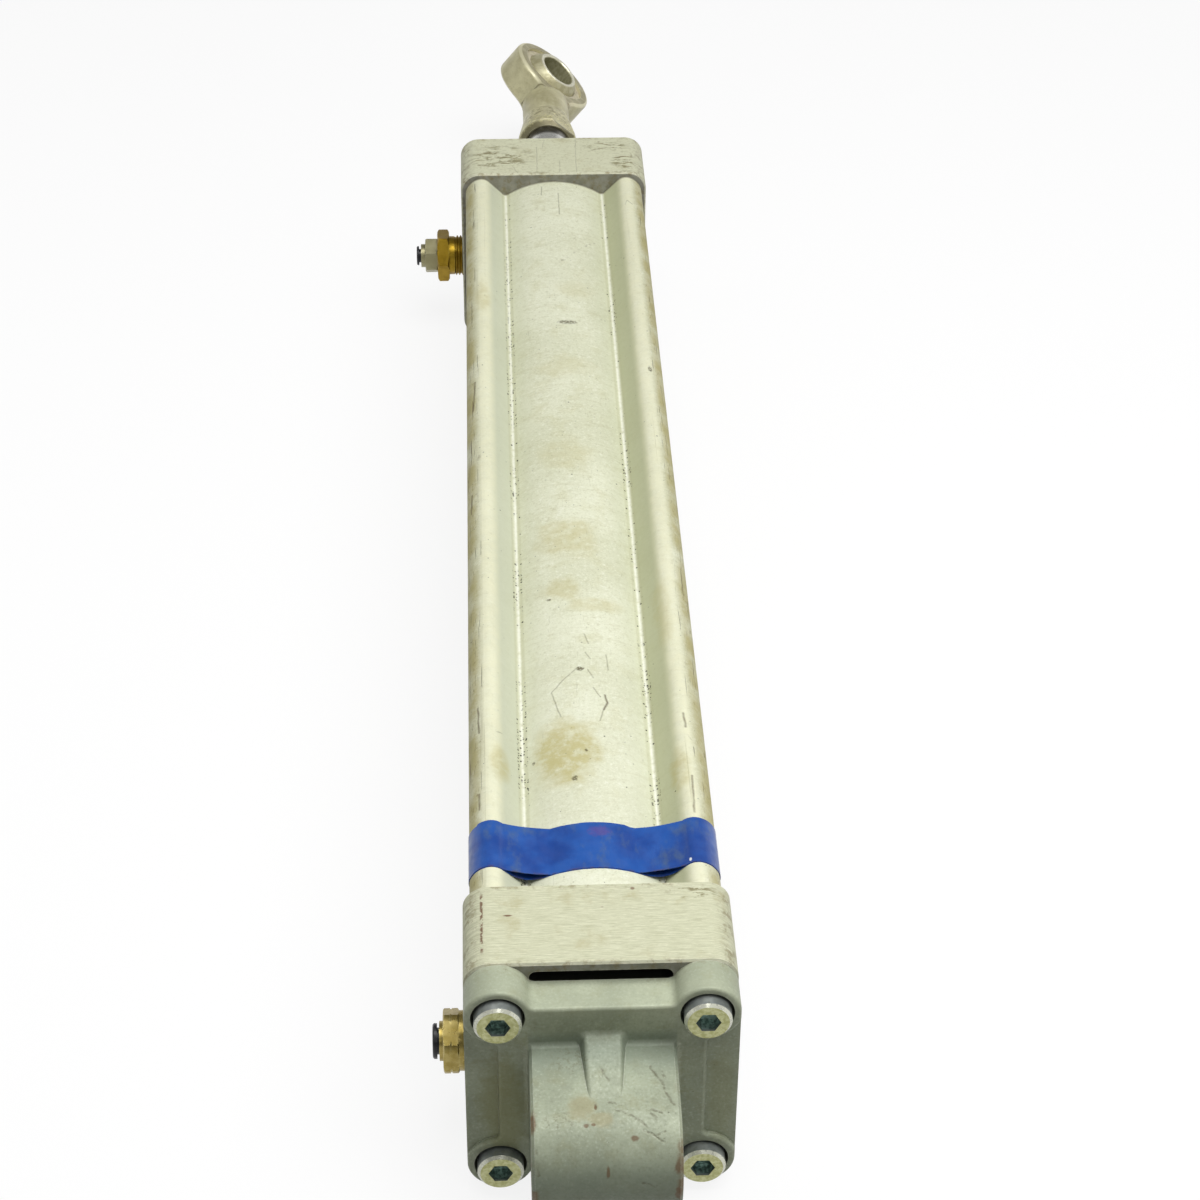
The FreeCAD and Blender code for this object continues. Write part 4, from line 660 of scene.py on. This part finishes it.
def screw_finish():
    """Zinc plating, yellowish and uneven, with a painted highlight on the chamfers, painted light in the grey
    hexagon sockets, and threaded holes.
    """
    metallic = 0.65
    it = Finish("zinc_steel", metallic, specular=0.5)
    it.colour = it.shades(it.cloud(0.22, 0.38, 0.62, detail=4.0), (138, 144, 143), (164, 169, 167))
    it.tint((136, 138, 116), it.cloud(0.8, 0.5, 0.68, detail=5.0), 0.4)
    facing = it.facing()
    tarnish = it.cloud(0.9, 0.38, 0.62, detail=5.0, roughness=0.7)
    it.tint(it.shades(tarnish, (166, 167, 112), (196, 197, 150)), it.fade(facing, -0.85, -0.97))
    # Painted highlight: the heads' chamfers painted near-white; the same mask makes them less rough and less
    # metallic.
    chamfer_highlight = it.product(it.band(facing, -0.7, 0.16, 0.1), it.fade(it.y, SCREW_FACE + 2.0, SCREW_FACE + 1.5))
    it.tint((230, 231, 213), chamfer_highlight, 0.9)
    it.tint((96, 78, 48), it.dots(0.5, 0.12, 0.6), 0.7)
    across = it.from_screw()
    ring = it.measure("LENGTH", across)
    # Painted light and reflection: the hexagon sockets painted pale grey-teal instead of their shade.
    socket_painted_light = it.product(it.fade(ring, 3.62, 3.42), it.fade(it.y, SCREW_FACE + 0.4, SCREW_FACE + 1.1))
    it.tint(it.shades(it.cloud(0.9, 0.4, 0.6), (112, 134, 126), (176, 198, 190)), socket_painted_light)
    split = it.parts(across)
    helix = it.math("MULTIPLY_ADD", it.y, 2.0 * math.pi / SCREW_PITCH, it.math("ARCTAN2", split[Z], split[X]))
    hole = it.product(it.fade(ring, 3.6, 3.45), it.fade(it.y, REAR_FACE + 8.0, REAR_FACE + 9.0))
    thread = it.math("MULTIPLY", it.math("SINE", helix), hole)
    turned = it.noise(1.0, it.node("ShaderNodeCombineXYZ", {X: ring, Y: it.y}).outputs[0])
    relief = it.bump(turned, 0.02)
    relief = it.bump(thread, 0.5, relief)
    rough = it.math("MULTIPLY_ADD", chamfer_highlight, -0.1, it.patchy(0.7, 0.28, 0.46, detail=4.0))
    it.tree.links.new(it.math("MULTIPLY_ADD", chamfer_highlight, -0.3, metallic), it.shader.inputs["Metallic"])
    it.dress(rough, relief, "flange_screws", "front_cap_screws", "rear_cap_screws", "piston_nut")


def turned_finish(name, metallic, first, second, worn, rough, scale, pieces, rings=RINGS_Y):
    """Turned metal: fine rings across the axis, cloudy tarnish between two shades, and brighter edges."""
    it = Finish(name, metallic, specular=0.5)
    turned = it.noise(1.0, it.stretched(*rings), detail=4.0, roughness=0.6)
    it.colour = it.shades(it.cloud(scale, 0.36, 0.64, detail=5.0, roughness=0.6), first, second)
    it.tint(first, it.fade(turned, 0.5, 0.7), 0.35)
    it.tint(worn, it.edges(0.35), it.cloud(0.7, 0.3, 0.6), 0.6)
    relief = it.bump(turned, 0.008)
    relief = it.bump(it.noise(2.2, detail=2.0), 0.004, relief)
    it.dress(it.patchy(scale * 3.0, *rough, detail=4.0), relief, *pieces)


def eye_finish():
    """Zinc-coated forged steel, yellowed and grained, with grime round the collar and at the neck's end, painted
    shade under the collar and on the ring's flat faces, and a painted highlight along the ring's edges.
    """
    it = Finish("forged_steel", metallic=0.35, specular=0.5)
    it.colour = it.shades(it.cloud(0.12, 0.36, 0.64, detail=5.0), (188, 182, 142), (210, 205, 166))
    grain = it.noise(1.5, detail=4.0)
    it.tint((156, 150, 108), it.fade(grain, 0.52, 0.72), 0.4)
    streaks = it.noise(0.3, it.stretched(1.0, 0.3, 1.0), detail=4.0)
    neck = it.fade(it.y, NECK_END + 0.1, NECK_END - 0.5)
    it.tint((160, 152, 108), neck, it.fade(streaks, 0.4, 0.7), 0.35)
    it.tint((150, 116, 66), it.blob((14.0, NECK_END - 1.7, 4.0), (6.0, 9.0, 14.0), 0.4, 0.2), 0.4)
    # Painted shade, with oily dirt: the collar's underside painted dark.
    it.tint((92, 86, 58), it.fade(it.y, COLLAR_START + 2.6, COLLAR_START + 1.4), 0.85)
    from_middle = it.vector("SUBTRACT", it.place, EYE_MIDDLE)
    across = it.math("ABSOLUTE", it.measure("DOT_PRODUCT", from_middle, EYE_AXIS))
    ring = it.fade(it.y, NECK_END - 0.7, NECK_END + 3.3)
    # Painted highlight: a pale strip along the rounded edges of the ring's flat faces.
    it.tint((236, 231, 198), it.band(across, 6.9, 0.3, 0.6), ring, 0.6)
    # Painted shade: the ring's flat faces painted darker in patches.
    it.tint((128, 119, 80), it.fade(across, 7.35, 7.48), ring, it.cloud(0.2, 0.3, 0.6, 0.4, 0.75, detail=4.0))
    it.tint((240, 234, 176), it.band(it.y, COLLAR_START + 6.0, 2.5, 3.0), it.cloud(0.9, 0.56, 0.62), 0.7)
    soot = it.cloud(0.5, 0.48, 0.62, detail=5.0, roughness=0.7)
    it.tint((104, 94, 56), it.band(it.y, COLLAR_START + 13.0, 3.5, 5.0), soot, 0.6)
    it.tint((92, 84, 54), it.band(it.y, NECK_END, 0.25, 0.5), 0.6)
    it.tint((236, 233, 208), it.edges(0.6), 0.5)
    relief = it.bump(grain, 0.03)
    relief = it.bump(it.noise(0.4, detail=2.0), 0.05, relief)
    it.dress(it.patchy(0.5, 0.32, 0.46, detail=4.0), relief, "rod_eye_housing")


def ball_finish():
    """Bearing steel: a dull cream sphere with rub marks, a painted highlight round the mouth of its bore, and a
    dry, dull bore.
    """
    it = Finish("ball_steel", metallic=0.4, specular=0.5)
    it.colour = it.shades(it.cloud(0.2, 0.36, 0.64, detail=5.0), (166, 160, 124), (192, 188, 154))
    rubs = it.noise(1.0, it.stretched(0.5, 1.6, 0.5), detail=4.0, roughness=0.65)
    it.tint((128, 120, 84), it.fade(rubs, 0.54, 0.7), 0.5)
    from_middle = it.vector("SUBTRACT", it.place, EYE_MIDDLE)
    out = it.measure("LENGTH", it.vector("CROSS_PRODUCT", from_middle, BALL_AXIS))
    lip_highlight = it.band(out, BALL_BORE + 1.0, 0.6, 0.5)
    # Painted highlight: a near-white ring round the bore's mouth, which is also made less rough.
    it.tint((242, 240, 222), lip_highlight, 0.6)
    bore = it.fade(out, BALL_BORE + 0.35, BALL_BORE + 0.15)
    it.tint(it.shades(it.fade(rubs, 0.4, 0.6), (148, 145, 112), (170, 167, 134)), bore)
    relief = it.bump(rubs, 0.01)
    rough = it.math("MULTIPLY_ADD", lip_highlight, -0.15, it.patchy(0.6, 0.4, 0.54, detail=4.0))
    it.dress(rough, relief, "rod_eye_ball")


def rod_finish():
    """Bright chrome, with a ring of painted shade where the rod goes into the eye's collar."""
    it = Finish("chrome_rod", metallic=0.75, specular=0.5)
    turned = it.noise(1.0, it.stretched(*RINGS_Y), detail=4.0, roughness=0.6)
    it.colour = it.shades(it.fade(turned, 0.3, 0.7), (214, 214, 208), (224, 224, 219))
    collar_shade_amount = it.cloud(0.5, 0.25, 0.5, 0.7, 0.95, detail=4.0)
    # Painted shade: the rod darkened in patches next to the eye's collar.
    it.tint((72, 68, 54), it.fade(it.y, COLLAR_START - 7.0, COLLAR_START - 4.5), collar_shade_amount)
    it.dress(it.patchy(0.3, 0.2, 0.27, detail=4.0), it.bump(turned, 0.0012), "piston_rod")


def soft_finish(name, first, second, rough, depth, pieces):
    """Rubber or plastic: two close shades, fine grain and a few dusty specks."""
    it = Finish(name, metallic=0.0, specular=0.4)
    it.colour = it.shades(it.cloud(0.6, 0.36, 0.64, detail=4.0), first, second)
    it.tint((150, 146, 136), it.dots(0.9, 0.12, 0.5), 0.5)
    relief = it.bump(it.noise(3.0), depth)
    it.dress(it.patchy(1.2, *rough, detail=3.0), relief, *pieces)


def tape_finish(pieces):
    """Blue adhesive film: glossy, smudged with dust, with fine stretch lines."""
    it = Finish("blue_tape", metallic=0.0, specular=0.45, **{"Coat Weight": 0.25, "Coat Roughness": 0.25})
    it.colour = it.shades(it.cloud(0.08, 0.36, 0.64, detail=4.0), (20, 64, 141), (29, 83, 163))
    smear = it.noise(0.17, it.stretched(1.0, 0.5, 1.0), detail=5.0, roughness=0.65)
    it.tint((84, 104, 122), it.fade(smear, 0.52, 0.72), 0.5)
    it.tint((120, 56, 110), it.blob((2.0, TAPE_END - 3.5, TUBE_RADIUS), (4.0, 3.0, 8.0), 0.6, 0.8), 0.3)
    it.tint((84, 62, 70), it.band(it.y, TAPE_START, 0.3, 0.7), it.cloud(0.35, 0.44, 0.6, detail=4.0), 0.5)
    it.tint((226, 228, 224), it.blob((27.2, TAPE_START + 1.6, 35.0), (0.5, 0.9, 1.6), 0.1, 1.0))
    relief = it.bump(it.noise(1.0, it.stretched(0.5, 0.12, 0.5), detail=4.0), 0.12)
    relief = it.bump(it.noise(1.6), 0.015, relief)
    it.dress(it.patchy(0.3, 0.3, 0.48, detail=5.0), relief, *pieces)


def new_piece(name, vertices, faces):
    """A mesh piece from places in millimetres."""
    mesh = bpy.data.meshes.new(name)
    mesh.from_pydata([Vector(place) * MM for place in vertices], [], faces)
    work = bmesh.new()
    work.from_mesh(mesh)
    bmesh.ops.recalc_face_normals(work, faces=work.faces)
    for face in work.faces:
        face.smooth = True
    work.to_mesh(mesh)
    work.free()
    mesh.set_sharp_from_angle(angle=math.radians(40.0))
    piece = bpy.data.objects.new(name, mesh)
    bpy.context.scene.collection.objects.link(piece)
    return piece


def arc_points(centre, radius, start, end, count):
    """Points along an arc, without its last one."""
    angles = [start + (end - start) * step / count for step in range(count)]
    return [centre + Vector((math.cos(angle), math.sin(angle))) * radius for angle in angles]


def tape_path(grow, sag):
    """The line that the tape follows round the tube: over the lobes and crowns, and across the hollows."""
    reach = SCREW_REACH * math.sqrt(2.0)
    across = LOBE_HALF_WIDTH - LOBE_EDGE_RADIUS
    along = reach + math.sqrt((LOBE_RADIUS - LOBE_EDGE_RADIUS) ** 2 - across ** 2)
    meet = math.atan2(across, along - reach)
    landing = math.radians(TAPE_LANDING)
    land = Vector((math.cos(landing), math.sin(landing))) * (TUBE_RADIUS + grow)
    leave = Vector((along, LOBE_HALF_WIDTH + grow))
    lean = (leave - land).normalized()
    inward = Vector((lean.y, -lean.x))
    shares = [step / 14 for step in range(14)]
    bridge = [land + (leave - land) * share + inward * sag * math.sin(math.pi * share) for share in shares]
    corner = arc_points(Vector((along, across)), LOBE_EDGE_RADIUS + grow, math.pi / 2.0, meet, 6)
    crest_highlight = arc_points(Vector((reach, 0.0)), LOBE_RADIUS + grow, meet, 0.0, 7)
    half_line = bridge + corner + crest_highlight
    tip = Vector((reach + LOBE_RADIUS + grow, 0.0))
    lobe = [Vector((point.x, -point.y)) for point in half_line] + [tip] + half_line[:0:-1]
    path = []
    for quarter in range(4):
        angle = math.radians(45.0 + 90.0 * quarter)
        path += [Matrix.Rotation(angle, 2) @ point for point in lobe]
        start, end = angle + landing, angle + math.pi / 2.0 - landing
        path += arc_points(Vector((0.0, 0.0)), TUBE_RADIUS + grow, start, end, 16)
    return path


def wave(value, seed):
    """A smooth irregular wobble between about -1 and 1 that repeats each turn."""
    return (math.sin(5.0 * value + seed) + 0.6 * math.sin(13.0 * value + 2.1 * seed)
            + 0.4 * math.sin(29.0 * value + 3.7 * seed)) / 2.0


def tape_layer(name, grow, thickness, sag, near, far, step, ragged):
    """One wound layer of tape with its two faces and wavy cut edges, the far one with a step on top."""
    inner, outer = tape_path(grow, sag), tape_path(grow + thickness, sag)
    count, rows = len(outer), 10
    vertices, faces = [], []
    for point in outer + inner:
        turn = math.atan2(point.y, point.x)
        stepped = TAPE_STEP_START < math.degrees(turn) < TAPE_STEP_END
        low = near + ragged * wave(turn, 0.7)
        high = far + (step if stepped else 0.0) + ragged * wave(turn, 2.9)
        vertices += [(point.x, low + (high - low) * row / rows, point.y) for row in range(rows + 1)]
    size = count * (rows + 1)
    for layer in range(2):
        for index in range(count):
            a = layer * size + index * (rows + 1)
            b = layer * size + (index + 1) % count * (rows + 1)
            faces += [(a + row, b + row, b + row + 1, a + row + 1) for row in range(rows)]
    for index in range(count):
        a, b = index * (rows + 1), (index + 1) % count * (rows + 1)
        faces += [(a, b, b + size, a + size), (a + rows, b + rows, b + rows + size, a + rows + size)]
    return new_piece(name, vertices, faces)


def tape():
    """The blue tape: a taut outer turn over a looser, narrower one that sinks into the hollows."""
    outer = tape_layer("tape_wrap", grow=0.06, thickness=0.17, sag=0.5, near=TAPE_START + 0.2,
                       far=TAPE_END - 0.2, step=0.6, ragged=0.18)
    under = tape_layer("tape_under_wrap", grow=0.02, thickness=0.03, sag=2.6, near=TAPE_START,
                       far=TAPE_END - 3.5, step=0.0, ragged=0.12)
    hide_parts("tape_band")
    for piece in (outer, under):
        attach(piece, "barrel")
    tape_finish([outer, under])


def thread_sleeve():
    """The pipe thread that shows between the front cap and the reducer's hexagon."""
    core, height, pitch, length, runout = 7.49, 0.78, 1.337, 3.5, 0.5
    turns, rows = 72, 56
    vertices, faces = [], []
    for row in range(rows + 1):
        out = length * row / rows
        fade = min(1.0, (length - out) / runout)
        for step in range(turns):
            angle = 2.0 * math.pi * step / turns
            phase = (out / pitch - step / turns) % 1.0
            ridge = max(0.0, min(1.0, (1.0 - abs(2.0 * phase - 1.0)) * 1.5 - 0.25))
            radius = core + height * ridge * fade
            y, z = PORT_Y + radius * math.cos(angle), PORT_Z + radius * math.sin(angle)
            vertices.append((CAP_LEFT - out, y, z))
    for row in range(rows):
        for step in range(turns):
            a, b = row * turns + step, row * turns + (step + 1) % turns
            faces.append((a, b, b + turns, a + turns))
    piece = new_piece("front_reducer_thread", vertices, faces)
    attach(piece, "barrel")
    return piece


def stage():
    """Pale floor under the object. Far out it curves up into a low wall, so that no edge of it shows."""
    mesh = bpy.data.meshes.new("floor")
    low, steps = cad_box[0][Z] - FLOOR_GAP, 96
    vertices, faces = [(0.0, 0.0, low)], []
    for row, (reach, rise) in enumerate(FLOOR_RINGS):
        for step in range(steps):
            turn = 2.0 * math.pi * step / steps
            vertices.append((reach * math.cos(turn), reach * math.sin(turn), low + rise))
            a, b = 1 + row * steps + step, 1 + row * steps + (step + 1) % steps
            faces.append((a - steps, b - steps, b, a) if row else (0, a, b))
    mesh.from_pydata(vertices, [], faces)
    floor = bpy.data.objects.new("floor", mesh)
    bpy.context.scene.collection.objects.link(floor)
    mesh.materials.append(floor_material())


def floor_material():
    """White to the camera and in reflections, with the object's soft shadow, and dim to all other light."""
    material = new_material("floor_white")
    tree = material.node_tree
    bounce = add_node(tree, "ShaderNodeBsdfDiffuse", {"Color": FLOOR_BOUNCE}).outputs[0]
    shaded = add_node(tree, "ShaderNodeBsdfDiffuse", {"Color": FLOOR_SHADED}).outputs[0]
    glow = add_node(tree, "ShaderNodeEmission", {"Color": WHITE, "Strength": 1.0}).outputs[0]
    rays = add_node(tree, "ShaderNodeLightPath").outputs
    seen = rays["Is Camera Ray"]
    for name in ("Is Glossy Ray", "Is Transmission Ray"):
        seen = add_node(tree, "ShaderNodeMath", {0: seen, 1: rays[name]}, operation="MAXIMUM").outputs[0]
    white = add_node(tree, "ShaderNodeMixShader", {0: FLOOR_GLOW_SHARE, 1: shaded, 2: glow}).outputs[0]
    blend = add_node(tree, "ShaderNodeMixShader", {0: seen, 1: bounce, 2: white}).outputs[0]
    add_node(tree, "ShaderNodeOutputMaterial", {"Surface": blend})
    return material


def lamp(name, place, aim, size, power):
    """A rectangular soft light at a place, aimed at another."""
    data = bpy.data.lights.new(name, "AREA")
    data.shape = "RECTANGLE"
    data.size, data.size_y = size
    data.energy = power
    light = bpy.data.objects.new(name, data)
    turn = (Vector(aim) - Vector(place)).to_track_quat("-Z", "Y")
    light.matrix_world = Matrix.LocRotScale(Vector(place), turn, None)
    bpy.context.scene.collection.objects.link(light)


def lights():
    """A large soft light above and to the right, weak ones from the left and the front, and a pale sky."""
    world = bpy.data.worlds.new("studio")
    bpy.context.scene.world = world
    world.use_nodes = True
    sky = world.node_tree.nodes["Background"]
    sky.inputs["Color"].default_value = WHITE
    sky.inputs["Strength"].default_value = SKY_STRENGTH
    for settings in LAMPS:
        lamp(*settings)


def camera():
    """The photograph's camera, with a long lens."""
    data = bpy.data.cameras.new("camera")
    data.sensor_width = CAMERA_SENSOR
    data.lens = CAMERA_SENSOR * FOCAL_PIXELS / PHOTO_PIXELS
    view = bpy.data.objects.new("camera", data)
    turn = Euler([math.radians(angle) for angle in CAMERA_TURNS])
    view.matrix_world = Matrix.LocRotScale(Vector(CAMERA_PLACE) * MM, turn, None)
    bpy.context.scene.collection.objects.link(view)
    bpy.context.scene.camera = view


bpy.context.scene.view_settings.view_transform = "Standard"
tube_finish()
cap_finish()
flange_finish()
screw_finish()
eye_finish()
rod_finish()
ball_finish()
turned_finish("fitting_brass", first=(138, 111, 24), second=(160, 131, 38), worn=(212, 188, 92),
              metallic=0.85, rough=(0.28, 0.44), scale=0.2, rings=RINGS_X,
              pieces=["front_reducer", "front_cushion_screw", "rear_cushion_screw", thread_sleeve()])
turned_finish("pale_brass", first=(152, 134, 70), second=(174, 157, 96), worn=(232, 222, 162),
              metallic=0.8, rough=(0.26, 0.38), scale=0.3, rings=RINGS_X, pieces=["rear_fitting_body"])
turned_finish("nickel", first=(150, 144, 108), second=(166, 160, 126), worn=(206, 202, 172),
              metallic=0.65, rough=(0.34, 0.44), scale=0.1, rings=SOFT_RINGS_X, pieces=["front_push_in_body"])
turned_finish("piston_metal", first=(176, 176, 172), second=(194, 194, 190), worn=(224, 224, 220),
              metallic=0.9, rough=(0.28, 0.42), scale=0.2,
              pieces=["piston_front_half", "piston_rear_half", "front_cushion_sleeve", "rear_cushion_sleeve"])
turned_finish("bearing_bronze", first=(150, 110, 62), second=(176, 134, 80), worn=(206, 172, 112),
              metallic=0.85, rough=(0.34, 0.5), scale=0.25, pieces=["rod_bush"])
turned_finish("grip_steel", first=(150, 150, 148), second=(178, 178, 176), worn=(216, 216, 214),
              metallic=0.95, rough=(0.22, 0.36), scale=0.4, rings=RINGS_X,
              pieces=["front_tube_grip", "rear_tube_grip"])
soft_finish("seal_rubber", first=(26, 26, 27), second=(38, 38, 38), rough=(0.5, 0.7), depth=0.02,
            pieces=["rod_wiper_seal", "front_cap_oring", "rear_cap_oring", "front_cushion_seal",
                    "rear_cushion_seal", "front_piston_seal", "rear_piston_seal", "front_tube_oring",
                    "rear_tube_oring", "front_cushion_screw_oring", "rear_cushion_screw_oring"])
soft_finish("guide_plastic", first=(190, 182, 156), second=(204, 197, 172), rough=(0.42, 0.58), depth=0.015,
            pieces=["piston_guide_ring", "rod_eye_liner"])
soft_finish("magnet_plastic", first=(40, 40, 43), second=(54, 54, 58), rough=(0.4, 0.55), depth=0.015,
            pieces=["piston_magnet"])
soft_finish("black_plastic", first=(20, 21, 24), second=(34, 35, 40), rough=(0.3, 0.46), depth=0.012,
            pieces=["front_release_collar", "rear_release_collar"])
tape()
stage()
lights()
camera()
